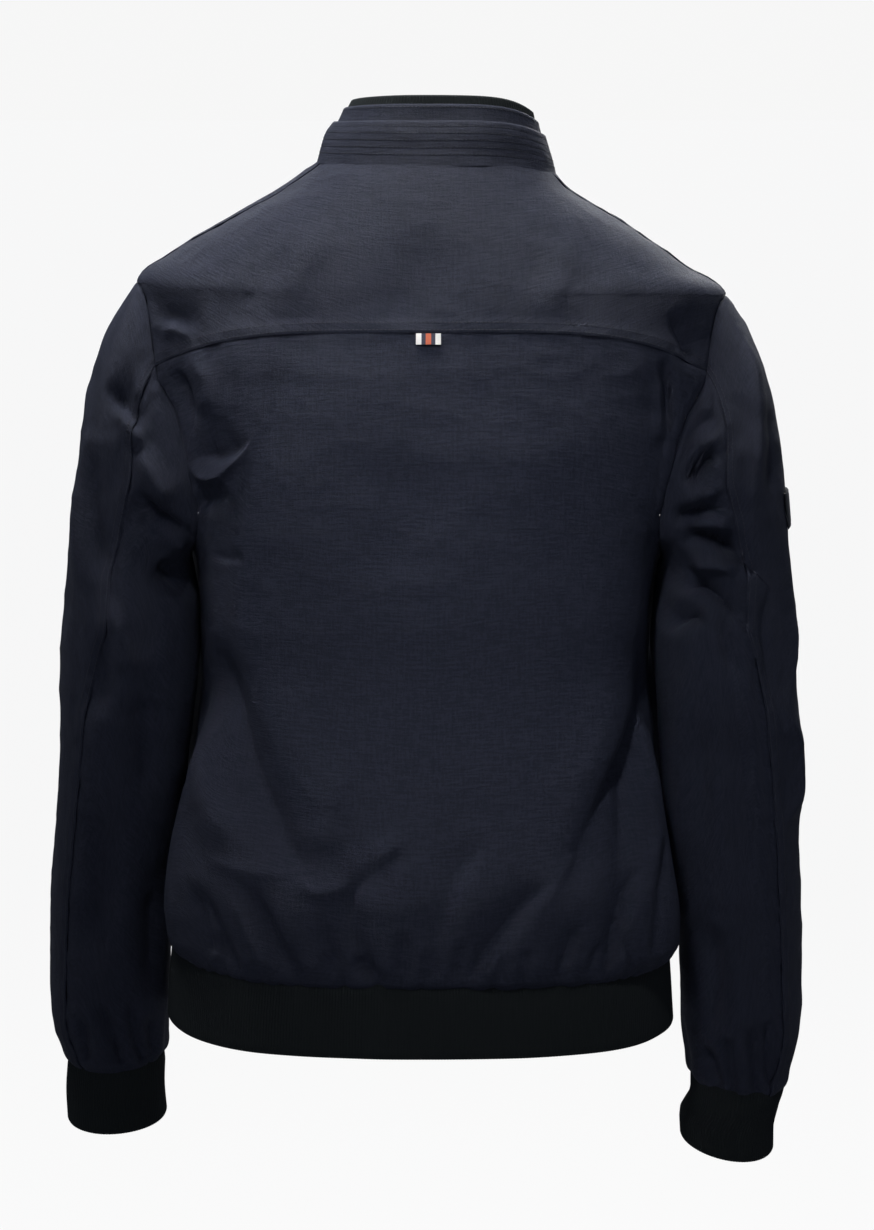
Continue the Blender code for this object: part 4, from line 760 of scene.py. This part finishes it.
class Wire:  # one output of a material's nodes, so that sums on it add their own nodes
    def __init__(self, tree, socket):
        self.tree, self.socket = tree, socket

    def make(self, kind, settings=None, values=None, output=0):
        node = self.tree.nodes.new(kind)
        for key, value in (settings or {}).items():
            if key == "stops":
                ends = node.color_ramp.elements
                while len(ends) < len(value):
                    ends.new(1)
                for end, (place, colour) in zip(ends, value):
                    end.position, end.color = place, colour
                node.color_ramp.interpolation = "CONSTANT"
            else:
                setattr(node, key, value)
        for key, value in (values or {}).items():
            if isinstance(value, Wire):
                self.tree.links.new(value.socket, node.inputs[key])
            else:
                node.inputs[key].default_value = value
        return Wire(self.tree, node.outputs[output])

    def math(self, operation, first, second=0.0):
        return self.make("ShaderNodeMath", {"operation": operation}, {0: first, 1: second})

    def __add__(self, other):
        return self.math("ADD", self, other)

    def __sub__(self, other):
        return self.math("SUBTRACT", self, other)

    def __rsub__(self, other):
        return self.math("SUBTRACT", other, self)

    def __mul__(self, other):
        return self.math("MULTIPLY", self, other)

    __radd__, __rmul__ = __add__, __mul__

    def sine(self):
        return self.math("SINE", self)

    def part(self, index):  # one coordinate of this vector
        return self.make("ShaderNodeSeparateXYZ", {}, {0: self}, index)

    def mix(self, low, high):  # two colours by this mask
        return self.make("ShaderNodeMix", {"data_type": "RGBA"}, {0: self, 6: low, 7: high}, 2)

    def stretched(self, scale):  # this vector, scaled along each axis
        return self.make("ShaderNodeVectorMath", {"operation": "MULTIPLY"}, {0: self, 1: scale})

    def noise(self, scale, detail=2.0, rough=0.5):
        values = {"Vector": self, "Scale": scale, "Detail": detail, "Roughness": rough}
        return self.make("ShaderNodeTexNoise", {}, values)

    def bump(self, strength, distance):
        return self.make("ShaderNodeBump", {}, {"Height": self, "Strength": strength, "Distance": distance})


def startMaterial(name, sockets):
    material = bpy.data.materials.new(name)
    material.use_nodes = True
    tree = material.node_tree
    shader = tree.nodes["Principled BSDF"]
    for key, value in sockets.items():
        shader.inputs[key].default_value = value
    start = Wire(tree, None)

    def feed(socket, wire):
        tree.links.new(wire.socket, shader.inputs[socket])

    return material, start, feed


def clothPlace(start):  # the layout in metres, across and down the cloth
    return start.make("ShaderNodeUVMap", {"uv_map": "cloth"})


def objectPlace(start):
    return start.make("ShaderNodeTexCoord", {}, {}, 3)


navy = {
    "colour": (0.0113, 0.0138, 0.0250, 1), "worn": (0.0183, 0.0212, 0.0368, 1), "thread": 0.00055,
    "slubs": (70, 520, 1), "wales": (480, 60, 1), "grain": 430.0, "clouds": 9.0,
    "contrast": 9, "middle": 0.47, "rough": 0.58, "bump": (0.7, 0.00060),
    "sheen": {
        "Sheen Weight": 0.02, "Sheen Roughness": 0.45, "Sheen Tint": (0.70, 0.75, 0.95, 1),
        "Specular IOR Level": 0.14,
    },
}


def clothMaterial(name, look):
    material, start, feed = startMaterial(name, look["sheen"])
    place = clothPlace(start)
    threads = place.stretched((1 / look["thread"], 1 / look["thread"], 1))
    over = start.make("ShaderNodeTexChecker", {}, {"Vector": threads, "Scale": 1.0}, 1)
    across, along = (start.math("ABSOLUTE", (threads.part(i) * math.pi).sine()) for i in (0, 1))
    weave = across * over + along * (1 - over)
    slubs = place.stretched(look["slubs"]).noise(1.0, 2.0, 0.6)
    wales = place.stretched(look["wales"]).noise(1.0, 2.0, 0.6)
    grain = place.noise(look["grain"], 2.0, 0.7)
    clouds = objectPlace(start).noise(look["clouds"], 3.0)
    tone = slubs * 0.42 + wales * 0.28 + grain * 0.3
    mask = (tone - 0.5) * look["contrast"] + look["middle"] + (clouds - 0.5) * 0.5 + (weave - 0.6) * 0.12
    feed("Base Color", start.math("MAXIMUM", mask, 0.0).mix(look["colour"], look["worn"]))
    feed("Roughness", look["rough"] + 0.10 * tone - 0.05 * clouds)
    feed("Normal", (weave * 0.4 + tone * 3.4).bump(*look["bump"]))
    return material


knit = {
    "colour": (0.0060, 0.0078, 0.0086, 1), "pale": (0.0135, 0.0165, 0.0176, 1), "loop": 0.0011,
    "rough": 0.86, "bump": (0.4, 0.00035),
    "sheen": {
        "Sheen Weight": 0.02, "Sheen Roughness": 0.5, "Sheen Tint": (0.7, 0.8, 0.85, 1),
        "Specular IOR Level": 0.12,
    },
}


def knitMaterial(name, look):
    material, start, feed = startMaterial(name, look["sheen"])
    loops = clothPlace(start).stretched((1 / look["loop"], 1.6 / look["loop"], 1))
    rows = ((loops.part(1) + loops.part(0) * 0.5) * 2 * math.pi).sine()
    fuzz = loops.noise(1.2, 3.0)
    feed("Base Color", (fuzz * 0.8 + rows * 0.12).mix(look["colour"], look["pale"]))
    feed("Roughness", look["rough"] + 0.1 * fuzz)
    feed("Normal", (rows * 0.5 + fuzz).bump(*look["bump"]))
    return material


def plainMaterial(name, colour, pale, rough, metal=0.0, scale=900.0, depth=0.00005):
    material, start, feed = startMaterial(name, {"Metallic": metal})
    grain = objectPlace(start).noise(scale, 3.0)
    feed("Base Color", grain.mix(colour, pale))
    feed("Roughness", rough + 0.15 * grain)
    feed("Normal", grain.bump(0.3, depth))
    return material


def stripeMaterial(name, look):
    # bands of colour across the tab, each by where it starts
    material, start, feed = startMaterial(name, {"Sheen Weight": 0.1})
    place = clothPlace(start)
    share = place.part(0) * (1 / look["size"][0]) + 0.5
    stripes = start.make("ShaderNodeValToRGB", {"stops": look["bands"]}, {0: share})
    ribs = (place.part(1) * (2 * math.pi / look["rib"])).sine()
    fuzz = place.noise(2500.0, 2.0)
    feed("Base Color", (0.12 * fuzz + 0.04 * ribs).mix(stripes, look["fluff"]))
    feed("Roughness", 0.7 + 0.1 * fuzz)
    feed("Normal", ribs.bump(0.5, 0.0001))
    return material


navyCloth = clothMaterial("navyCloth", navy)
ribKnit = knitMaterial("ribKnit", knit)
navyThread = plainMaterial("navyThread", (0.010, 0.0115, 0.019, 1), (0.022, 0.025, 0.038, 1), 0.5)
tapeCloth = plainMaterial("tapeCloth", (0.008, 0.009, 0.014, 1), (0.016, 0.018, 0.026, 1), 0.75)
darkMetal = plainMaterial("darkMetal", (0.10, 0.10, 0.11, 1), (0.16, 0.16, 0.17, 1), 0.28, 1.0, 400.0, 0.00002)
patchRubber = plainMaterial("patchRubber", (0.010, 0.011, 0.015, 1), (0.016, 0.018, 0.024, 1), 0.42)
print("materials done")


# How cloth lies near its seams

seamLook = {
    "dip": (0.0006, 0.0015), "lap": (0.0007, 0.009), "edge": (0.0004, 0.0007), "calm": 0.012, "pucker": 0.012,
    "corner": (0.0028, 0.006),
}
underarmSpots = [body(np.array([underarm]), np.array([side * math.pi / 2])) for side in words]


def seamDip(away):
    deep, wide = seamLook["dip"]
    return -deep * bell(away, wide)


def seamLap(away):  # the turned edge lies higher, and its very edge is rounded
    high, wide = seamLook["lap"]
    deep, edge = seamLook["edge"]
    return high * (1 - ramp(wide * 0.6, wide * 1.4, away)) - deep * bell(away, edge)


def cornerFill(points):  # where four seams meet under the arm, their allowances bulge and close the corner
    high, wide = seamLook["corner"]
    return sum(high * bell(np.linalg.norm(points - spot, axis=-1), wide) for spot in underarmSpots)


def crumple(points, seed, look):  # soft swells, with faint sharp-edged creases across them
    creases = 0.35 - np.abs(uneven(points * (1.0, 1.0, 1.4), 0.045, seed + 7))
    fine = 0.3 - np.abs(uneven(points * (1.3, 1.0, 1.0), 0.016, seed + 8))
    return look["soft"] * uneven(points, 0.055, seed) + look["crease"] * creases + look["small"] * fine


def gathers(turn, above, seed, look, radius=0.19):
    # ripples that rise from a band's seam, uneven in height, width and depth
    rng = np.random.default_rng(seed)
    lift = np.zeros(turn.shape)
    at = turn.min()
    while at < turn.max():
        at += rng.uniform(*look["apart"])
        tall, wide = rng.uniform(*look["tall"]), rng.uniform(*look["wide"])
        deep, lean = rng.uniform(*look["deep"]), rng.uniform(-0.5, 0.5)
        off = (turn - at - lean * above) * radius
        lift -= deep * bell(off, wide) * (1 - ramp(0.1, 1, above / tall))
    return lift


def seamLift(points, seed, puckerSeed, lines, laps, dips, look):
    # the height of the crumpled cloth, which lies still near its edges and puckers along its seams
    away = {edge: awayFrom(points, line) for edge, line in lines.items()}
    lift = crumple(points, seed, look) * ramp(0, seamLook["calm"], np.minimum.reduce(list(away.values())))
    for edge in away:
        if edge in laps or edge in dips:
            lift = lift + (seamLap if edge in laps else seamDip)(away[edge])
            puckers = uneven(points, look["puckerSize"], puckerSeed) * np.exp(-away[edge] / seamLook["pucker"])
            lift = lift + look["pucker"] * puckers
    return lift + cornerFill(points)


def bandLift(points, turn, seed, look):  # the cloth blouses over its band and dips into the band's seam
    above = lengths(points)
    above = above[-1:] - above
    (high, at, wide), (deep, narrow) = look["blouse"], look["tuck"]
    return gathers(turn, above, seed, look["gathers"]) + high * bell(above - at, wide) - deep * bell(above, narrow)


# The body's panels

panelCloth = {
    "thick": 0.0012, "pitch": 0.0021, "small": 0.0007, "crease": 0.0010, "soft": 0.0011,
    "pucker": 0.0008, "puckerSize": 0.009, "blouse": (0.0026, 0.008, 0.009), "tuck": (0.0022, 0.003),
    "gathers": {"apart": (0.05, 0.16), "tall": (0.018, 0.055), "wide": (0.0022, 0.0045), "deep": (0.0006, 0.0022)},
}
backLook = dict(
    panelCloth, flat=(0.56, 0.50), area=0.235, wide=0.42, ease=4, laps=("start", "end"), dips=("top",), clocks=90
)
yokeLook = dict(
    panelCloth, flat=(0.50, 0.19), area=0.07, wide=0.42, ease=4, laps=("bottom",), dips=("start", "end"), clocks=40,
    crease=0.0004, soft=0.0008, stitches=(0.0022, 0.0078),
)
frontLook = dict(
    panelCloth, flat=(0.34, 0.66), area=0.16, wide=0.21, ease=2, laps=("start", "end"), dips=(), clocks=120,
    pitch=0.0030, stitches=(0.0020, 0.0080),
)


def bodyGrid(drops, firstEdge, lastEdge, share, ease):
    share = share[None]
    first, last = (edge(drops)[:, None] for edge in (firstEdge, lastEdge))
    lowFirst, lowLast = (edge(np.array([hem]))[0] for edge in (firstEdge, lastEdge))
    turn = lowFirst + (lowLast - lowFirst) * share
    turn = turn + (first - lowFirst) * (1 - share) ** ease + (last - lowLast) * share**ease
    return np.repeat(drops[:, None], share.shape[1], axis=1), turn


def dropsBetween(first, last, pitch, clocks, closest=0.00035):
    # drops of a panel's rows, closer where the armhole's edge runs level
    at = np.sort(np.concatenate((first + steps(last - first, pitch), armhole(clocks)[0])))
    kept = [at[0]]
    for value in at[1:]:
        if value - kept[-1] > closest * coarse:
            kept.append(value)
    kept[-1] = last
    if len(kept) % 2 == 0:
        kept.insert(-1, (kept[-1] + kept[-2]) / 2)
    return np.array(kept)


def bodyPiece(name, node, ends, clocks, edges, seed, look):
    drops = dropsBetween(*ends, look["pitch"], np.linspace(*clocks, look["clocks"]))
    share = steps(look["wide"], look["pitch"]) / look["wide"]
    down, turn = bodyGrid(drops, *edges, share, look["ease"])
    points = body(down, turn)
    lines = {"top": points[0], "bottom": points[-1], "start": points[:, 0], "end": points[:, -1]}
    lift = seamLift(points, seed, seed + 2, lines, look["laps"], look["dips"], look)
    if drops[-1] == hem:
        lift = lift + bandLift(points, turn, seed + 3, look)
    sign = 1 if turn[0, 0] < turn[0, -1] else -1
    return clothPiece(name, points, sign, navyCloth, [node], look, lift)


backEdges = [lambda down, side=side: panelEdge(side, 1, down) for side in (wearerRight, wearerLeft)]
bodyPiece("backCloth", "back_panel", (yoke, hem), (yokeClock, math.pi), backEdges, 10, backLook)
outer, outward = bodyPiece("yokeCloth", "back_yoke", (0, yoke), (0, yokeClock), backEdges, 20, yokeLook)
for distance in yokeLook["stitches"]:
    stitchLine("yokeStitches", *inset(outer, outward, "bottom", distance))
print("back done")

for side, word in words.items():
    frontEdges = lambda down: panelEdge(side, -1, down), lambda down: zipEdge(side, down)
    outer, outward = bodyPiece(
        f"frontCloth_{word}", f"front_{word}", (0, hem), (0, math.pi), frontEdges, 30 + side, frontLook
    )
    for distance in frontLook["stitches"]:
        stitchLine("frontStitches", *inset(outer, outward, "end", distance))
print("fronts done")


# The sleeves

sleeveLook = {
    "thick": 0.0012, "pitch": 0.0025, "small": 0.0007, "crease": 0.0018, "soft": 0.0012,
    "pucker": 0.0008, "puckerSize": 0.008, "blouse": (0.0016, 0.007, 0.008), "tuck": (0.0018, 0.003),
    "gathers": {"apart": (0.15, 0.5), "tall": (0.014, 0.045), "wide": (0.0020, 0.0040), "deep": (0.0004, 0.0014)},
    "cap": 0.17, "wide": 0.19, "stitches": (0.0018, 0.0066),
    "top": {"flat": (0.22, 0.60), "area": 0.088}, "under": {"flat": (0.27, 0.56), "area": 0.10},
}


def sleevePiece(side, word, part, look):
    below = biceps + steps(cuffTop[side] - biceps, look["pitch"])
    rows = np.concatenate((steps(look["cap"], look["pitch"])[:-1] / look["cap"], alongOf(below)))
    if len(rows) % 2 == 0:
        rows = np.insert(rows, 1, rows[1] / 2)
    isTop = part == "top"
    front, back = np.full(rows.shape, frontSeam + (0 if isTop else 2 * math.pi)), seamClock(side, rows)
    first, last = (front, back) if isTop else (back, front)
    share = steps(look["wide"], look["pitch"])[None] / look["wide"]
    clock = first[:, None] + (last - first)[:, None] * share
    points = sleeve(side, np.repeat(rows[:, None], share.shape[1], axis=1), clock)
    lines = {"start": points[:, 0], "end": points[:, -1], "top": points[0]}
    laps = ("end",) if isTop else ()
    seed = 50 + 10 * side + isTop
    lift = seamLift(points, seed, seed + 4, lines, laps, lines, look)
    lift = lift + bandLift(points, clock * 0.3, seed + 6, look)
    outer, outward = clothPiece(
        f"sleeve{part.title()}_{word}", points, -side, navyCloth,
        [f"sleeve_{word}_{part}"], dict(look, **look[part]), lift,
    )
    for distance in look["stitches"] if isTop else ():
        stitchLine("sleeveStitches", *inset(outer, outward, "end", distance))


for side, word in words.items():
    for part in ("top", "under"):
        sleevePiece(side, word, part, sleeveLook)
print("sleeves done")


# The knitted bands

knitLook = {"thick": 0.0022, "rib": 0.0023, "deep": 0.00022, "end": (0.0022, 0.0010), "uneven": 0.0008}
cuffLook = dict(knitLook, flat=(0.25, 0.055), tuck=0.0022, size=0.03, points=2 * int(0.25 / 0.0023) * 3)
hemLook = dict(knitLook, flat=(1.12, 0.056), tuck=0.0024, size=0.035, points=2 * int(1.10 / 0.0023) * 5 // 2)


def ribShape(run):  # rounded wales side by side
    return knitLook["deep"] * (2 * np.abs(np.cos(math.pi * run / knitLook["rib"])) - 1)


def bandRows(top, end):  # from under the cloth's edge to the band's turned end
    return np.concatenate(([top - 0.004, top - 0.002], np.linspace(top, end - 0.002, 9), [end - 0.0008, end]))


def knitLift(points, ribs, below, top, end, seed, look):  # the band tucks in under the cloth and rounds its end
    tuck = look["tuck"] * (1 - ramp(top - 0.0035, top + 0.002, below))
    edge, deep = look["end"]
    lift = ribs - tuck - deep * ramp(end - edge, end, below) ** 2
    return lift + look["uneven"] * uneven(points, look["size"], seed)


for side, word in words.items():
    count = cuffLook["points"] // coarse
    below, clock = np.meshgrid(
        bandRows(cuffTop[side], cuffEnd[side]), np.linspace(0, 2 * math.pi, count, endpoint=False), indexing="ij"
    )
    points = sleevePlain(side, alongOf(below), clock)
    run = lengths(points[:, list(range(count)) + [0]], 1)[6:7, :-1]
    run = run * np.round(run[0, -1] / cuffLook["rib"]) * cuffLook["rib"] / run[0, -1]
    lift = knitLift(points, ribShape(run), below, cuffTop[side], cuffEnd[side], 70 + side, cuffLook)
    clothPiece(
        f"cuff_{word}_knit", points, -side, ribKnit, [f"cuff_{word}"], cuffLook, lift, wrap=True
    )

count = hemLook["points"] // coarse // 2 * 2 + 1
down, share = np.meshgrid(bandRows(hem, hemEnd), np.linspace(0, 1, count), indexing="ij")
points = bodyPlain(down, zipEdge(wearerRight, down) * (1 - share) + zipEdge(wearerLeft, down) * share)
lift = knitLift(points, ribShape(lengths(points, 1)[6:7]), down, hem, hemEnd, 80, hemLook)
clothPiece("hemBand_knit", points, 1, ribKnit, ["hem_rib"], hemLook, lift)
print("knit bands done")


# The collar

collarLook = {
    "stand": {
        "thick": 0.0017, "top": standHeight, "foot": -0.0012, "depth": -0.0004, "rowPitch": 0.0012,
        "quilting": (0.0050, 0.0105, 0.0160, 0.0215, 0.0270),
    },
    "band": {"thick": 0.0017, "top": bandHeight, "foot": 0.004, "depth": 0.0024, "stitches": 0.003},
    "rib": {"thick": 0.0022, "top": ribHeight, "foot": 0.006, "depth": 0.0048, "knitted": True},
}
collarCloth = {
    "radius": 0.089, "around": 0.45, "pitch": 0.0040, "knitPitch": 0.0009, "steps": (0.0036, 0.0005, 0.003),
    "rim": (0.0009, 0.0009), "groove": (0.00014, 0.0008), "uneven": (0.0007, 0.03), "quilted": (0.0003, 0.008),
}


def collarPiece(name, look, cloth):
    tall, quilting, knitted = look["top"] - look["foot"], look.get("quilting", ()), look.get("knitted")
    rim = steps(tall, *cloth["steps"])
    if quilting:
        rim = np.linspace(0, tall, 2 * int(tall / look["rowPitch"] / coarse) + 1)
    half = math.pi - zipHalf / cloth["radius"]
    columns = 2 * int(cloth["around"] / cloth["knitPitch" if knitted else "pitch"] / coarse) + 1
    down, turn = np.meshgrid(rim - look["top"], np.linspace(-half, half, columns), indexing="ij")
    points = collar(down, turn)
    points = points - look["depth"] * gridNormals(points, 1)
    rim = down + look["top"]
    (high, wide), (groove, narrow) = cloth["rim"], cloth["groove"]
    lift = -high * bell(rim, wide) - groove * sum(bell(rim - row, narrow) for row in quilting)
    (soft, size), (quilted, small) = cloth["uneven"], cloth["quilted"]
    lift = lift + soft * uneven(points, size, 90)
    if quilting:
        lift = lift + quilted * uneven(points, small, 91)
    if knitted:
        lift = lift + ribShape(lengths(points, 1)[2:3])
    material, slotName = (ribKnit, "dark_rib") if knitted else (navyCloth, "navy_cloth")
    sheet = dict(look, flat=(0.47, tall))
    outer, outward = clothPiece(
        f"collar{name.title()}_cloth", points, 1, material, [f"collar_{name}"], sheet, lift
    )
    for row in quilting + (look["stitches"],) if "stitches" in look else quilting:
        stitchLine("collarStitches", *inset(outer, outward, "top", row))


for name, look in collarLook.items():
    collarPiece(name, look, collarCloth)
print("collar done")


# The zip, with its tapes and teeth; the slider, pull tab and box stay the solids' own


def frontLine(drop):
    at, centre = np.array([drop]), np.array([math.pi])
    surface = collar if drop < 0 else bodyPlain
    return surface(at, centre)[0], normalsOf(surface, at, centre)[0]


zipLook = {
    "thick": 0.0009, "flat": (0.011, 0.70), "top": 0.031, "overlap": 0.0012, "weave": (0.00012, 0.0022),
    "tooth": (0.0013, 0.0022), "pitch": 0.0026, "firstTooth": 0.0035, "lastTooth": 0.014,
    "toothRows": ((0.0026, 0.45), (0.0016, 1.0), (-0.0004, 1.0), (-0.0010, 0.5)),  # place across, and height
    "toothCorners": ((-0.5, -0.5), (0.5, -0.5), (0.38, 0.5), (-0.38, 0.5)),
}
drops = np.concatenate((np.linspace(-zipLook["top"], -0.003, 17), np.linspace(0.002, hemEnd, 260)))
axisLine, axisWay = (np.array(rows) for rows in zip(*(frontLine(drop) for drop in drops)))
axisWay = unit(axisWay * (0, 1, 1))
for side, word in words.items():
    across = side * np.linspace(0.0002, zipHalf + zipLook["overlap"], 7)
    points = axisLine[:, None] + np.stack([across, 0 * across, 0 * across], -1)[None]
    points = points - axisWay[:, None] * zipLook["thick"]
    deep, wave = zipLook["weave"]
    lift = deep * np.sin(lengths(points) * 2 * math.pi / wave)
    clothPiece(f"zipTape_{word}_cloth", points, -side, tapeCloth, [f"zip_tape_{word}"], zipLook, lift)

run = lengths(axisLine)
tall, thick = zipLook["tooth"]
toothPoints, toothFaces = [], []
for side in words:
    for i in range(int((run[-1] - zipLook["lastTooth"]) / zipLook["pitch"])):
        place = zipLook["firstTooth"] + (i + (0.5 if side == wearerLeft else 0)) * zipLook["pitch"]
        middle, out = readAt(place, run, axisLine), unit(readAt(place, run, axisWay))
        up = unit(np.cross(out, (1.0, 0, 0)))
        up = up if up[2] > 0 else -up
        base = len(toothPoints)
        for x, high in zipLook["toothRows"]:
            for y, z in zipLook["toothCorners"]:
                spot = middle + np.array([side * x, 0, 0]) + up * (y * tall) + out * (z * thick * high - 0.0002)
                toothPoints.append(spot)
        order = [
            (base + 4 * k + a, base + 4 * k + b, base + 4 * k + 4 + b, base + 4 * k + 4 + a)
            for k in range(3) for a, b in ((0, 1), (1, 2), (2, 3), (3, 0))
        ]
        order += [(base + 3, base + 2, base + 1, base), (base + 12, base + 13, base + 14, base + 15)]
        toothFaces += order if side > 0 else [face[::-1] for face in order]
addPiece("zipTeeth", meshFrom("zipTeeth", toothPoints, toothFaces), darkMetal, sharp=30)
for node in ("zip_slider", "zip_pull", "zip_box"):
    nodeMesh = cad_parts[node].data
    nodeMesh.materials.clear()
    nodeMesh.materials.append(darkMetal)
print("zip done")


# Pocket welts, seam tab and sleeve patch


def laidOn(name, points, sign, material, node, look, lift=0):
    points = points + look["high"] * gridNormals(points, sign)
    return clothPiece(name, points, sign, material, [node], look, lift)


weltLook = {
    "thick": 0.0013, "flat": (0.024, 0.115), "wide": 0.024, "high": 0.0026, "stitches": 0.0022,
    "ends": (0.400, 0.530), "turns": (0.62, 0.92), "slant": 0.4, "radius": 0.188,
}
for side, word in words.items():
    share, across = np.meshgrid(odd(0.15, 0.002), np.linspace(-0.5, 0.5, 13), indexing="ij")
    down, fromFront = (low + (high - low) * share for low, high in (weltLook["ends"], weltLook["turns"]))
    down = down - weltLook["slant"] * weltLook["wide"] * across
    turn = side * (math.pi - fromFront + weltLook["wide"] / weltLook["radius"] * across)
    outer, outward = laidOn(
        f"pocketWelt_{word}", body(down, turn), side, navyCloth, f"pocket_welt_{word}", weltLook
    )
    for edge in ("top", "bottom", "start", "end"):
        stitchLine("pocketStitches", *inset(outer, outward, edge, weltLook["stitches"]))

tabWhite, tabNavy, tabOrange = (0.74, 0.73, 0.70, 1), (0.016, 0.020, 0.045, 1), (0.52, 0.10, 0.035, 1)
tabLook = {
    "thick": 0.0010, "flat": (0.0200, 0.0100), "size": (0.0200, 0.0080), "high": 0.0016,
    "x": 0.0025, "below": 0.0008, "radius": 0.262, "rib": 0.0005, "fluff": (0.05, 0.05, 0.06, 1),
    "bands": [(0.0, tabWhite), (0.24, tabNavy), (0.40, tabOrange), (0.60, tabNavy), (0.76, tabWhite)],
}
wide, tall = tabLook["size"]
across, drop = np.meshgrid(np.linspace(-0.5, 0.5, 25), np.linspace(0, 1, 15))
points = body(yoke + tabLook["below"] + tall * drop, (tabLook["x"] + wide * across) / tabLook["radius"])
laidOn("seamTab", points, 1, stripeMaterial("stripedTape", tabLook), "yoke_tab", tabLook)

patchLook = {
    "thick": 0.0020, "size": (0.046, 0.027), "high": 0.0030, "along": 0.78, "clock": math.radians(4),
    "radius": 0.066, "rim": (0.0010, 0.0008), "groove": (0.0004, 0.0026, 0.0005),
}
wide, tall = patchLook["size"]
across, drop = np.meshgrid(np.linspace(-0.5, 0.5, 41), np.linspace(-0.5, 0.5, 25))
clock = patchLook["clock"] + wide * across / patchLook["radius"]
points = sleeve(wearerRight, patchLook["along"] + tall * drop / (biceps - shoulder), clock)
inside = np.minimum(0.5 - np.abs(across), (0.5 - np.abs(drop)) * tall / wide) * wide
(high, narrow), (deep, at, groove) = patchLook["rim"], patchLook["groove"]
lift = -high * bell(inside, narrow) - deep * bell(inside - at, groove)
laidOn("sleevePatch", points, -wearerRight, patchRubber, "sleeve_patch", patchLook, lift)

for name in sorted(stitches):
    makeStitches(name, navyThread)
for piece, look in madeSheets:
    "flat" in look
print("trims done")


# Camera, light and floor

view = {"place": (-0.004, 3.0, 0.05), "tilt": 7.514, "halfHeight": 615, "focal": 3896}  # the last two in pixels
camera = bpy.data.objects.new("camera", bpy.data.cameras.new("camera"))
scene.collection.objects.link(camera)
camera.location = view["place"]
camera.rotation_euler = (math.radians(90 - view["tilt"]), 0, math.radians(180))
camera.data.sensor_fit = "VERTICAL"
camera.data.angle = 2 * math.atan(view["halfHeight"] / view["focal"])
scene.camera = camera

studio = {
    "backdrop": (0.925, 0.925, 0.925, 1), "sky": (0.80, 0.85, 1.0, 1), "skyStrength": 0.17,
    "floor": (0.02, 0.02, 0.02, 1), "floorGlow": 0.917, "floorLevel": -1.42, "floorHalf": 300,
    "lamps": (  # place, aim, size, power, spread in degrees
        ((0.05, -0.12, 1.4), (0, 0.05, -0.20), 0.7, 42, 180),
        ((0.55, 0.20, 0.90), (0, 0.05, -0.20), 0.4, 8, 180),
        ((0.30, 1.7, 1.25), (-0.03, 0.1, -0.30), 0.25, 0.44, 18),
        ((0, 1.8, -1.0), (0, 0.05, -0.30), 1.0, 2.4, 180),
        ((1.9, 1.2, 0.3), (0, 0.05, -0.30), 1.0, 1.2, 180),
        ((-0.50, -2.60, 1.30), (0, 0, -0.35), 2.0, 60, 180),
    ),
}
world = bpy.data.worlds.new("studioSky")
scene.world = world
world.use_nodes = True
background = world.node_tree.nodes["Background"]
seen = Wire(world.node_tree, None).make("ShaderNodeLightPath")
skyColour = seen.mix(studio["sky"], studio["backdrop"])
skyStrength = seen * (1.0 - studio["skyStrength"]) + studio["skyStrength"]
for socket, wire in (("Color", skyColour), ("Strength", skyStrength)):
    world.node_tree.links.new(wire.socket, background.inputs[socket])
for index, (place, aim, size, power, spread) in enumerate(studio["lamps"]):
    lamp = bpy.data.lights.new(f"softLight_{index}", "AREA")
    lamp.shape, lamp.size, lamp.energy, lamp.spread = "DISK", size, power, math.radians(spread)
    holder = bpy.data.objects.new(lamp.name, lamp)
    holder.location = place
    holder.rotation_euler = (Vector(aim) - Vector(place)).to_track_quat("-Z", "Y").to_euler()
    scene.collection.objects.link(holder)

floorLook, start, feed = startMaterial("paleFloor", {
    "Base Color": studio["floor"], "Roughness": 1.0, "Emission Color": (1, 1, 1, 1),
    "Emission Strength": studio["floorGlow"],
})
floorMesh = bpy.data.meshes.new("studioFloor")
half = studio["floorHalf"]
floorMesh.from_pydata([(-half, -half, 0), (half, -half, 0), (half, half, 0), (-half, half, 0)], [], [(0, 1, 2, 3)])
floorMesh.materials.append(floorLook)
floor = bpy.data.objects.new("studioFloor", floorMesh)
floor.location = (0, 0, studio["floorLevel"])
floor.visible_diffuse = floor.visible_glossy = False
scene.collection.objects.link(floor)
scene.view_settings.view_transform = "Standard"
print("stage done")

shown = [piece for piece in scene.objects if piece.type == "MESH" and not piece.hide_render]
print("triangles", sum(len(face.vertices) - 2 for piece in shown for face in piece.data.polygons))
